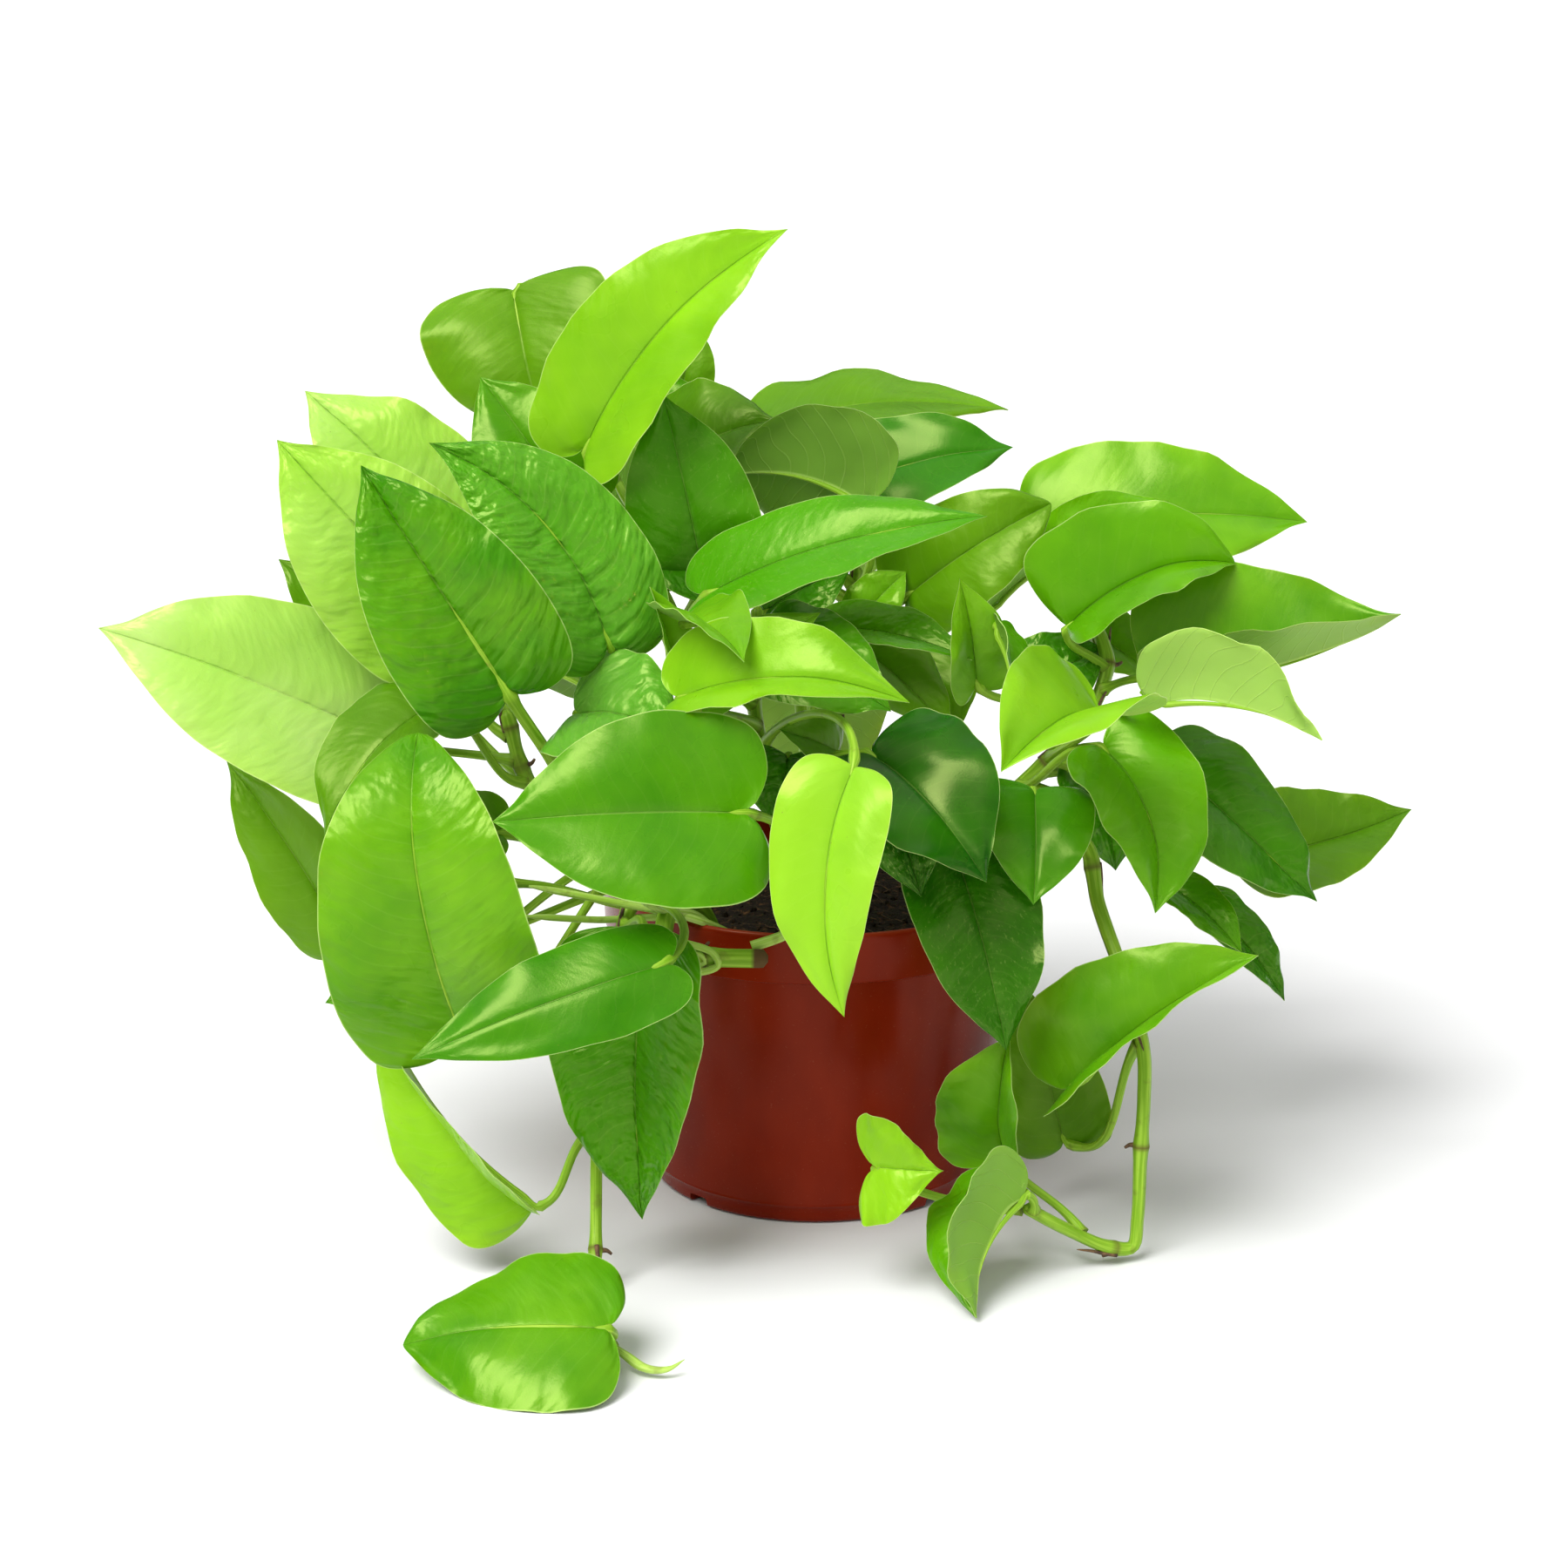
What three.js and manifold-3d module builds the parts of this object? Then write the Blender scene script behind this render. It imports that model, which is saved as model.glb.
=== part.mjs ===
// A potted pothos: a thin plastic nursery pot, its soil, the vines that grow from it and their
// heart-shaped leaves. Millimetres, +Z up, origin at the centre of the pot's base on the surface it
// stands on, the plant's fuller side towards -Y. Vines that hang lower than the base lie on the surface.
import * as THREE from "three";
import { mergeVertices } from "three/addons/utils/BufferGeometryUtils.js";
import Module from "manifold-3d";

const wasm = await Module();
wasm.setup();

// Clearance left between neighbouring pieces.
const GAP = 0.3;

// Pot: a tapered wall under a plain band that stands proud of it, with drain notches at the base.
const POT_HEIGHT = 120;
const POT_BASE_RADIUS = 63.5;
const POT_RIM_RADIUS = 82;
const BAND_DEPTH = 19.5;
const BAND_STEP = 1.6;
const WALL = 1.8;
const RIDGE_HEIGHT = 7;
const NOTCH_COUNT = 4;
const NOTCH_WIDTH = 9;
const NOTCH_HEIGHT = 3.5;
const POT_SEGMENTS = 48;

// Soil: fills the pot to a little below its rim, slightly heaped in the middle.
const SOIL_EDGE_HEIGHT = 103;
const SOIL_HEAP = 4;

// Vines and leaf stalks.
const STEM_RADIUS = 2.7;
const STEM_SIDES = 8;
const STEM_STEP = 16;
const STALK_RADIUS = 1.5;
const STALK_STATIONS = [0, 0.3, 0.62, 1];

// Blades: thickness beside the midrib, and the midrib's height above and depth below the middle surface.
const BLADE_HALF_THICKNESS = 0.45;
const MIDRIB_TOP = 0.5;
const MIDRIB_KEEL = 1.1;

// Cross sections of a blade from its stalk to its tip, as shares of its length and half width:
// place along the midrib, place along the axis at the margin, and half width.
const BLADE_SECTIONS = [
  [0.015, -0.055, 0.12],
  [0.05, -0.09, 0.44],
  [0.12, -0.045, 0.8],
  [0.24, 0.09, 0.98],
  [0.42, 0.35, 0.99],
  [0.65, 0.62, 0.78],
  [0.83, 0.82, 0.41],
];

const COLOURS = {
  terracotta: 0x8e2a14,
  soil: 0x3a281a,
  stem: 0x7fae3a,
  lime: 0x8fd62a,
  green: 0x55b01c,
  deep: 0x2f8f18,
  olive: 0x6fa82c,
};

// Centre lines of the vines, from inside the soil outwards.
const STEMS = {
  stem_left: [
    [-46, -16, 94], [-54, -26, 120], [-80, -46, 146], [-105, -52, 168], [-114, -50, 196],
  ],
  stem_crest: [
    [-26, 8, 94], [-32, 8, 140], [-50, 6, 190], [-62, 8, 232], [-66, 12, 262],
  ],
  stem_centre: [
    [-8, -22, 94], [-12, -28, 130], [-18, -34, 165], [-24, -30, 200], [-22, -20, 228],
  ],
  stem_upper: [
    [6, 18, 94], [6, 26, 140], [10, 32, 190], [16, 34, 232],
  ],
  stem_right: [
    [38, -12, 94], [50, -18, 130], [76, -24, 160], [98, -28, 184], [108, -20, 206], [102, -8, 224],
  ],
  stem_back: [
    [0, 46, 94], [-2, 60, 135], [-6, 78, 180], [-2, 92, 216],
  ],
  stem_left_trailing: [
    [-50, -34, 94], [-58, -50, 122], [-66, -66, 130], [-74, -84, 112], [-79, -98, 74], [-80, -108, 42],
    [-80, -120, 16], [-80, -136, 3.6], [-79, -150, 3], [-77, -166, 3], [-71, -182, 3.2],
  ],
  stem_right_trailing: [
    [46, -38, 94], [56, -50, 126], [74, -58, 144], [97, -56, 148], [103, -64, 126], [111, -80, 104],
    [118, -90, 80], [118.5, -94, 62], [117.5, -97, 40], [117, -98, 16], [115.5, -98.5, 5.5],
    [108, -101, 6], [90, -109, 17], [74, -117, 29],
  ],
  stem_cut: [
    [-34, -38, 94], [-43, -52, 120], [-50, -66, 127.5], [-55, -79, 126], [-55, -88, 120],
    [-48, -91.5, 116], [-37, -92, 115], [-18, -92, 114.5],
  ],
};

// Leaves: name, colour, vine and place along it (0 root, 1 end), the blade's base and tip, the way its
// upper face looks, its width, and its bends: arch bows the midrib towards the face, fold raises the
// margins in degrees, sway bows it sideways, full above 1 makes the half towards the tip broader and
// below 1 narrower, notch scales the notch at the base, and curl bends the tip back.
const LEAVES = [
  ["far_left", "lime", "stem_left", 0.86, [-160, -45, 184], [-260, -55, 228], [-0.12, -0.8, 0.6], 70,
    { arch: 8, fold: 6 }],
  ["left_quilted", "lime", "stem_left", 0.93, [-135, -42, 226], [-195, -40, 294], [-0.3, -0.8, 0.6], 66,
    { arch: 7, fold: 8 }],
  ["left_bright", "lime", "stem_left", 0.66, [-111, -85, 213], [-160, -80, 292], [-0.16, -0.85, 0.5], 62,
    { arch: 7, fold: 12 }],
  ["left_streaked", "lime", "stem_left", 0.98, [-136, 0, 249], [-192, 15, 303], [-0.1, -0.65, 0.7], 58,
    { arch: 6, fold: 8 }],
  ["centre_left_dark", "deep", "stem_crest", 0.6, [-76, -58, 224], [-139, -52, 295], [0.02, -0.8, 0.6],
    54, { arch: 7, fold: 10, sway: 10 }],
  ["crest_left", "olive", "stem_crest", 0.97, [-118, 75, 333], [-104, 50, 276], [-0.1, -0.95, 0.2], 76,
    { arch: 6, fold: 6, notch: 0.5 }],
  ["crest_tall", "lime", "stem_crest", 0.9, [-85, -10, 287], [-11, -10, 366], [-0.45, -0.75, 0.4], 58,
    { arch: 6, fold: 20, sway: -7 }],
  ["crest_mid_left", "green", "stem_crest", 0.85, [-94, 22, 258], [-128, 36, 305], [-0.1, -0.8, 0.6], 50,
    { arch: 5, fold: 8 }],
  ["left_curl", "olive", "stem_left", 0.8, [-138, -65, 202], [-176, -92, 160], [-0.6, -0.55, 0.55], 46,
    { arch: 8, fold: 12 }],
  ["front_left_big", "lime", "stem_left", 0.44, [-127, -120, 97], [-142, -125, 208], [-0.12, -0.9, 0.35],
    76, { arch: 10, fold: 8, sway: -3, full: 1.8, curl: 22 }],
  ["front_left_low", "green", "stem_left_trailing", 0.22, [-54, -150, 132], [-139, -165, 103],
    [0, -0.8, 0.55], 38, { arch: 6, fold: -10 }],
  ["front_left_dark", "deep", "stem_left_trailing", 0.27, [-62, -105, 129], [-63, -124, 27],
    [-0.45, -0.85, 0.2], 66, { arch: 6, fold: 18, notch: 0.3 }],
  ["front_centre_broad", "green", "stem_centre", 0.3, [-27, -129, 180], [-112, -137, 179],
    [0, -0.85, 0.5], 70, { arch: 5, fold: 8, notch: 1.15 }],
  ["front_centre_hanging", "lime", "stem_centre", 0.62, [11, -148, 201], [8, -170, 120],
    [-0.3, -0.8, 0.5], 41, { arch: 8, fold: 14, sway: 6, notch: 0.35 }],
  ["front_right_glossy", "deep", "stem_centre", 0.5, [19, -90, 190], [58, -126, 154], [0.35, -0.85, 0.4],
    60, { arch: 8, fold: 12 }],
  ["front_right_variegated", "deep", "stem_centre", 0.42, [23, -82, 180], [36, -108, 143],
    [0, -0.8, 0.5], 36, { arch: 4, fold: 10 }],
  ["front_right_dark", "deep", "stem_right_trailing", 0.1, [50, -85, 150], [67, -110, 86],
    [0.2, -0.95, 0.3], 48, { arch: 6, fold: 8 }],
  ["right_small_heart", "green", "stem_right_trailing", 0.16, [78, -75, 172], [76, -105, 139],
    [0.1, -0.8, 0.6], 42, { arch: 4, fold: 10 }],
  ["right_neon_heart", "lime", "stem_right", 0.6, [99, -90, 205], [61, -145, 199], [0.1, -0.35, 0.95],
    56, { arch: 8, fold: 32 }],
  ["right_round", "green", "stem_right", 0.5, [104, -64, 185], [121, -90, 131], [0.4, -0.85, 0.3], 48,
    { arch: 6, fold: 18, sway: -6 }],
  ["right_shaded", "deep", "stem_right", 0.55, [131, -15, 168], [188, -35, 118], [0.3, -0.7, 0.65], 50,
    { arch: 7, fold: 10, sway: 4 }],
  ["far_right_low", "olive", "stem_right", 0.45, [167, 25, 117], [237, 45, 131], [-0.1, -0.7, 0.7], 50,
    { arch: -6, fold: 16 }],
  ["right_low_neon", "lime", "stem_right_trailing", 0.47, [93, -91, 65], [157, -100, 118.5],
    [-0.3, -0.45, 0.85], 62, { arch: 6, fold: 42 }],
  ["right_olive_back", "olive", "stem_right_trailing", 0.56, [93.5, -51, 28], [79.5, -46, 86.5],
    [-0.1, -0.95, 0.2], 41, { arch: 5, fold: 8 }],
  ["low_right_folded", "lime", "stem_right_trailing", 0.9, [67, -98, 42], [69, -98, 88],
    [-0.6, -0.7, 0.2], 46, { arch: 4, fold: 36 }],
  ["low_right_young", "lime", "stem_right_trailing", 1, [20.5, -126, 47.7], [44, -134, 49.7],
    [0.1, -0.95, 0.15], 52, { arch: 1, fold: 10, full: 0.2, notch: 2.2 }],
  ["low_right_floor", "green", "stem_right_trailing", 0.99, [73, -123, 36], [55, -153, 2],
    [-0.97, -0.16, 0.2], 54, { arch: 6, fold: 50 }],
  ["floor_left", "lime", "stem_left_trailing", 1, [-73, -198, 19], [-142, -190, 9], [0.05, -0.5, 0.85],
    64, { arch: 6, fold: -8, full: 1.3 }],
  ["hanging_left", "lime", "stem_left_trailing", 0.57, [-103, -116.5, 28.5], [-156, -93, 93.2],
    [-0.85, -0.55, 0.1], 58, { arch: 8, fold: 30, notch: 0.4 }],
  ["left_olive", "olive", "stem_left", 0.3, [-178, -40, 106], [-221, -25, 170], [-0.4, -0.85, 0.2], 40,
    { arch: 6, fold: 10, sway: 5 }],
  ["centre_twist_dark", "deep", "stem_centre", 0.6, [-87, -66, 199], [-48, -90, 198.5], [0.2, -0.7, 0.7],
    52, { arch: 4, fold: 12 }],
  ["centre_bright_long", "lime", "stem_centre", 0.68, [-48, -93, 212], [31, -117, 216], [0, -0.6, 0.85],
    44, { arch: 12, fold: 24 }],
  ["centre_green", "green", "stem_centre", 0.76, [-22, -50, 219], [26, -75, 202], [0.1, -0.7, 0.7], 46,
    { arch: 6, fold: 10 }],
  ["upper_dark", "deep", "stem_crest", 0.7, [-43, -15, 242], [-57, -10, 306], [0.05, -0.9, 0.45], 50,
    { arch: 5, fold: 8 }],
  ["upper_long_glossy", "deep", "stem_crest", 0.64, [-39, -45, 239], [60, -60, 270], [0, -0.6, 0.8], 43,
    { arch: 8, fold: 14 }],
  ["crest_olive", "olive", "stem_upper", 0.9, [-63, 47, 266], [-15, 28, 290], [0.1, -0.6, 0.75], 60,
    { arch: 5, fold: 8 }],
  ["upper_right_flat", "olive", "stem_upper", 1, [-19, 65, 283], [76, 75, 286], [0, -0.25, 0.97], 50,
    { arch: 6, fold: 6 }],
  ["upper_right_point", "green", "stem_upper", 0.95, [8, 30, 263], [75, 30, 279], [0.1, -0.85, 0.8], 44,
    { arch: 6, fold: 8 }],
  ["upper_underside", "green", "stem_upper", 0.85, [17, 0, 263], [-37, 5, 272], [0, 0.9, 0.35], 64,
    { arch: 5, fold: 6, sway: -4 }],
  ["right_upper_olive", "olive", "stem_upper", 0.75, [35, 10, 226], [88, 5, 262], [0.2, -0.75, 0.6], 46,
    { arch: 6, fold: 8, full: 1.5 }],
  ["right_crest", "lime", "stem_right", 1, [89, 40, 246], [190, 40, 248], [0, -0.7, 0.7], 62,
    { arch: 8, fold: 8 }],
  ["right_broad", "green", "stem_right", 0.85, [92, -30, 223], [154, -30, 250], [0.05, -0.62, 0.79], 61,
    { arch: 6, fold: 36, sway: -4, full: 1.4, notch: 0.3, curl: 6 }],
  ["far_right_folded", "lime", "stem_right", 0.8, [123, -40, 206], [212, -45, 231], [0, -0.3, 0.95], 84,
    { arch: -8, fold: 50 }],
  ["right_pale_hanging", "lime", "stem_right", 0.7, [121, -72, 205], [178, -92, 196], [0.1, 0.6, 0.75],
    54, { arch: 6, fold: 34 }],
  ["back_left_high", "green", "stem_crest", 1, [-75, 95, 232], [-125, 135, 290], [-0.3, 0.7, 0.6], 58,
    { arch: 6, fold: 10 }],
  ["back_centre_high", "lime", "stem_back", 1, [5, 115, 225], [25, 150, 280], [0.1, 0.9, 0.4], 56,
    { arch: 6, fold: 10 }],
  ["back_right_wide", "green", "stem_back", 0.85, [70, 95, 200], [140, 130, 228], [0.1, 0.6, 0.75], 62,
    { arch: 8, fold: 10 }],
  ["back_left_wide", "deep", "stem_back", 0.7, [-85, 95, 165], [-165, 125, 175], [-0.1, 0.7, 0.65], 64,
    { arch: 8, fold: 12 }],
  ["back_low", "lime", "stem_back", 0.5, [5, 125, 175], [0, 155, 95], [0, 0.95, 0.3], 62,
    { arch: 8, fold: 10 }],
];

const vector = ([x, y, z]) => new THREE.Vector3(x, y, z);

// A closed solid from loose triangles, given as a flat list of coordinates.
function solidFrom(positions) {
  const loose = new THREE.BufferGeometry();
  loose.setAttribute("position", new THREE.Float32BufferAttribute(positions, 3));
  const merged = mergeVertices(loose, 1e-3);
  const corners = Array.from(merged.index.array);
  const kept = [];
  for (let i = 0; i < corners.length; i += 3) {
    const [a, b, c] = corners.slice(i, i + 3);
    if (a !== b && b !== c && c !== a) {
      kept.push(a, b, c);
    }
  }
  const vertProperties = merged.attributes.position.array;
  return new wasm.Manifold(new wasm.Mesh({ numProp: 3, vertProperties, triVerts: new Uint32Array(kept) }));
}

// The geometry of a solid, ready for a mesh.
function geometryFrom(solid) {
  const mesh = solid.getMesh();
  const geometry = new THREE.BufferGeometry();
  geometry.setAttribute("position", new THREE.Float32BufferAttribute(mesh.vertProperties, 3));
  geometry.setIndex(Array.from(mesh.triVerts));
  return geometry;
}

// A profile of [radius, height] points turned about the vertical axis; it starts and ends on the axis.
function turned(profile, segments) {
  const points = profile.map(([radius, height]) => new THREE.Vector2(radius, height));
  const geometry = new THREE.LatheGeometry(points, segments).toNonIndexed();
  geometry.rotateX(Math.PI / 2);
  return solidFrom(geometry.attributes.position.array);
}

// Loose triangles of a loft through rings of equal count, closed by a point before the first ring and
// one after the last. Quads of the second half of a ring are split the other way, so that the upper
// and lower side of a thin blade are split alike and never cross.
function loft(rings, startPoint, endPoint) {
  const out = [];
  const sides = rings[0].length;
  const triangle = (a, b, c) => out.push(...a.toArray(), ...b.toArray(), ...c.toArray());
  for (let i = 0; i < sides; i += 1) {
    const next = (i + 1) % sides;
    triangle(startPoint, rings[0][i], rings[0][next]);
    for (let k = 0; k + 1 < rings.length; k += 1) {
      const [a, b, c, d] = [rings[k][i], rings[k][next], rings[k + 1][next], rings[k + 1][i]];
      if (i < sides / 2) {
        triangle(a, c, b);
        triangle(a, d, c);
      } else {
        triangle(a, d, b);
        triangle(b, d, c);
      }
    }
    triangle(rings.at(-1)[next], rings.at(-1)[i], endPoint);
  }
  return out;
}

// A round tube along a curve.
function tube(curve, radius, step) {
  const count = Math.max(3, Math.round(curve.getLength() / step));
  const rings = [];
  let across = new THREE.Vector3(0.36, 0.93, 0);
  for (let k = 0; k <= count; k += 1) {
    const centre = curve.getPointAt(k / count);
    const tangent = curve.getTangentAt(k / count);
    across = across.clone().projectOnPlane(tangent).normalize();
    const other = across.clone().cross(tangent);
    const ring = [];
    for (let i = 0; i < STEM_SIDES; i += 1) {
      const angle = (2 * Math.PI * i) / STEM_SIDES;
      const spoke = across.clone().multiplyScalar(Math.cos(angle)).addScaledVector(other, Math.sin(angle));
      ring.push(centre.clone().addScaledVector(spoke, radius));
    }
    rings.push(ring);
  }
  const start = curve.getPointAt(0).addScaledVector(curve.getTangentAt(0), -0.4);
  const end = curve.getPointAt(1).addScaledVector(curve.getTangentAt(1), 0.4);
  return solidFrom(loft(rings, start, end));
}

// The middle surface of a blade: midrib point and local directions at a share t of its length.
class Blade {
  constructor(base, tip, face, width, bends) {
    const { arch = 0, fold = 0, sway = 0, full = 1, notch = 1, curl = 0 } = bends;
    Object.assign(this, { full, notch, curl });
    this.base = vector(base);
    this.axis = vector(tip).sub(this.base);
    this.halfWidth = width / 2;
    const normal = vector(face).projectOnPlane(this.axis).normalize();
    const side = this.axis.clone().cross(normal).normalize();
    this.normal = normal;
    this.bow = normal.clone().multiplyScalar(4 * arch).addScaledVector(side, 4 * sway);
    this.fold = THREE.MathUtils.degToRad(fold);
  }

  frameAt(t) {
    const along = Math.max(t, 0);
    const slope = this.axis.clone().addScaledVector(this.bow, 1 - 2 * along);
    const centre = this.base.clone().addScaledVector(this.axis, along);
    centre.addScaledVector(this.bow, along * (1 - along)).addScaledVector(slope, t - along);
    const tangent = slope.normalize();
    const up = this.normal.clone().projectOnPlane(tangent).normalize();
    centre.addScaledVector(up, (-this.curl * Math.max(t - 0.6, 0) ** 2) / 0.16);
    return { centre, tangent, up, side: tangent.clone().cross(up) };
  }

  // A point of the middle surface: share h across runs from -1 to 1.
  pointAt([midrib, margin, half], h, lift) {
    const reach = Math.abs(h);
    const back = (margin - midrib) * THREE.MathUtils.lerp(this.notch, 1, Math.min(midrib / 0.4, 1));
    const { centre, up, side } = this.frameAt(midrib + back * reach);
    let share = half;
    if (this.full < 1) {
      share = half * (1 - (1 - this.full) * midrib);
    } else if (midrib > 0.3) {
      share = half ** (1 / this.full);
    }
    const out = share * this.halfWidth * reach;
    const bulge = 0.2 * out * (1 - reach);
    centre.addScaledVector(side, Math.sign(h) * out * Math.cos(this.fold));
    return centre.addScaledVector(up, out * Math.sin(this.fold) + bulge + lift);
  }

  ring(section) {
    const [top, low] = [BLADE_HALF_THICKNESS, -BLADE_HALF_THICKNESS];
    const places = [
      [1, 0], [0.5, top], [0, MIDRIB_TOP], [-0.5, top], [-1, 0], [-0.5, low], [0, -MIDRIB_KEEL], [0.5, low],
    ];
    return places.map(([h, lift]) => this.pointAt(section, h, lift));
  }
}

// A leaf: a channelled stalk that springs from a vine and runs into a folded, bowed blade.
function leaf(curve, at, base, tip, face, width, bends) {
  const blade = new Blade(base, tip, face, width, bends);
  const root = curve.getPointAt(at);
  const vine = curve.getTangentAt(at);
  const reach = blade.base.clone().sub(root);
  const out = reach.clone().projectOnPlane(vine).normalize();
  const spring = out.clone().addScaledVector(vine, 0.5).normalize();
  const start = root.clone().addScaledVector(out, STEM_RADIUS + GAP + 0.8);
  const { tangent, up } = blade.frameAt(0);
  const arrival = reach.clone().normalize().add(tangent).normalize();
  const end = blade.base.clone().addScaledVector(arrival, -1.5);
  const pull = 0.35 * reach.length();
  const path = new THREE.CubicBezierCurve3(
    start,
    start.clone().addScaledVector(spring, pull),
    end.clone().addScaledVector(arrival, -pull),
    end,
  );
  const stalk = [];
  let lift = up;
  for (const share of [...STALK_STATIONS].reverse()) {
    const centre = path.getPoint(share);
    const direction = path.getTangent(share);
    lift = lift.clone().projectOnPlane(direction).normalize();
    const across = direction.clone().cross(lift);
    const ring = [];
    for (let i = 0; i < 8; i += 1) {
      const angle = (Math.PI * i) / 4;
      const radius = i === 2 ? 0.6 * STALK_RADIUS : STALK_RADIUS;
      const spoke = across.clone().multiplyScalar(Math.cos(angle)).addScaledVector(lift, Math.sin(angle));
      ring.push(centre.clone().addScaledVector(spoke, radius));
    }
    stalk.unshift(ring);
  }
  const rings = [...stalk, ...BLADE_SECTIONS.map((section) => blade.ring(section))];
  return solidFrom(loft(rings, start, blade.frameAt(1).centre));
}

function potSolid() {
  const wallRadius = (height) => POT_BASE_RADIUS +
    ((POT_RIM_RADIUS - BAND_STEP - POT_BASE_RADIUS) * height) / POT_HEIGHT;
  const bandLow = POT_HEIGHT - BAND_DEPTH;
  const outer = [
    [0, 0],
    [POT_BASE_RADIUS - 1.2, 0],
    [wallRadius(1.2), 1.2],
    [wallRadius(RIDGE_HEIGHT - 0.6), RIDGE_HEIGHT - 0.6],
    [wallRadius(RIDGE_HEIGHT) + 0.5, RIDGE_HEIGHT],
    [wallRadius(RIDGE_HEIGHT + 0.6), RIDGE_HEIGHT + 0.6],
    [wallRadius(bandLow), bandLow],
    [POT_RIM_RADIUS - 0.8, bandLow + 0.6],
    [POT_RIM_RADIUS, POT_HEIGHT - 1.2],
    [POT_RIM_RADIUS - 0.8, POT_HEIGHT],
  ];
  const inner = [
    [POT_RIM_RADIUS - 2.2, POT_HEIGHT - 0.4],
    [wallRadius(POT_HEIGHT - 3) - WALL + 0.6, POT_HEIGHT - 3],
    [wallRadius(WALL) - WALL, WALL + 0.6],
    [0, WALL + 0.6],
  ];
  let pot = turned([...outer, ...inner], POT_SEGMENTS);
  for (let i = 0; i < NOTCH_COUNT; i += 1) {
    const box = new THREE.BoxGeometry(12, NOTCH_WIDTH, 2 * NOTCH_HEIGHT).toNonIndexed();
    box.translate(POT_BASE_RADIUS - 2, 0, 0);
    box.rotateZ((2 * Math.PI * (i + 0.5)) / NOTCH_COUNT);
    pot = pot.subtract(solidFrom(box.attributes.position.array));
  }
  return pot;
}

function soilSolid(curves) {
  const floor = WALL + 0.6 + GAP;
  const innerRadius = (height) => POT_BASE_RADIUS - WALL - GAP - 0.2 +
    ((POT_RIM_RADIUS - BAND_STEP - POT_BASE_RADIUS) * height) / POT_HEIGHT;
  const profile = [
    [0, floor],
    [innerRadius(floor), floor],
    [innerRadius(SOIL_EDGE_HEIGHT), SOIL_EDGE_HEIGHT],
    [0.6 * innerRadius(SOIL_EDGE_HEIGHT), SOIL_EDGE_HEIGHT + 0.7 * SOIL_HEAP],
    [0, SOIL_EDGE_HEIGHT + SOIL_HEAP],
  ];
  const sockets = curves.map((curve) => tube(curve, STEM_RADIUS + GAP + 0.1, STEM_STEP));
  return sockets.reduce((soil, socket) => soil.subtract(socket), turned(profile, 32));
}

function named(name, solid, colour, roughness) {
  const material = new THREE.MeshStandardMaterial({ color: colour, roughness, metalness: 0 });
  const mesh = new THREE.Mesh(geometryFrom(solid), material);
  mesh.name = name;
  return mesh;
}

const plant = new THREE.Group();
plant.name = "potted_pothos";

const curves = {};
for (const [name, points] of Object.entries(STEMS)) {
  curves[name] = new THREE.CatmullRomCurve3(points.map(vector), false, "centripetal");
}

plant.add(named("pot", potSolid(), COLOURS.terracotta, 0.35));
plant.add(named("soil", soilSolid(Object.values(curves)), COLOURS.soil, 0.95));
for (const [name, curve] of Object.entries(curves)) {
  plant.add(named(name, tube(curve, STEM_RADIUS, STEM_STEP), COLOURS.stem, 0.5));
}
for (const [name, colour, stem, at, base, tip, face, width, bends] of LEAVES) {
  const solid = leaf(curves[stem], at, base, tip, face, width, bends);
  plant.add(named(`leaf_${name}`, solid, COLOURS[colour], 0.4));
}

export default plant;
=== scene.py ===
"""A potted pothos: nursery pot, soil, vines and heart-shaped leaves, dressed for close viewing.

Every shape is worked out in millimetres in the part's own frame and turned into metres when its mesh is
finished. The plant's fuller side faces -Y and +Z is up.
"""

import logging
import math
import random
from dataclasses import dataclass
from enum import Enum
from typing import Callable, Optional, Sequence, TypeVar, Union

import bmesh
import bpy
from mathutils import Euler, Matrix, Quaternion, Vector, noise


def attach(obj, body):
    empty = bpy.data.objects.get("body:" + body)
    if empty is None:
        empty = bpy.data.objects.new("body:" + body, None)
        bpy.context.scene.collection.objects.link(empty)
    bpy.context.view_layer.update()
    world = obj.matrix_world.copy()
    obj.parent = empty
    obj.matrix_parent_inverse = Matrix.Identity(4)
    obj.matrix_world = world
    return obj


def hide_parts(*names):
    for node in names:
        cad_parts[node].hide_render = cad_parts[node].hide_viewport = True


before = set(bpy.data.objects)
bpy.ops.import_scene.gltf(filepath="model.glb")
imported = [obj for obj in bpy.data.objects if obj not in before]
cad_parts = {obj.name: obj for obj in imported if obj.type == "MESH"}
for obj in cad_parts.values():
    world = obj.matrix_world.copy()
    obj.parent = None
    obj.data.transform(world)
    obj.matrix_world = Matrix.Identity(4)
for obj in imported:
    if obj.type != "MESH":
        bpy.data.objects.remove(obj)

LOG = logging.getLogger("potted_pothos")
MM = 0.001
STEM_RADIUS = 2.7
FIRST_SEED = 0.37
LEAF_SEED_STEP = 0.618

Triple = tuple[float, float, float]
Socket = bpy.types.NodeSocket
Number = Union["Value", float]
Colour = Union[Triple, Socket]
Finishes = dict[str, bpy.types.Material]
Smooth = TypeVar("Smooth", float, Vector)


# ---------------------------------------------------------------- shader nodes


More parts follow.
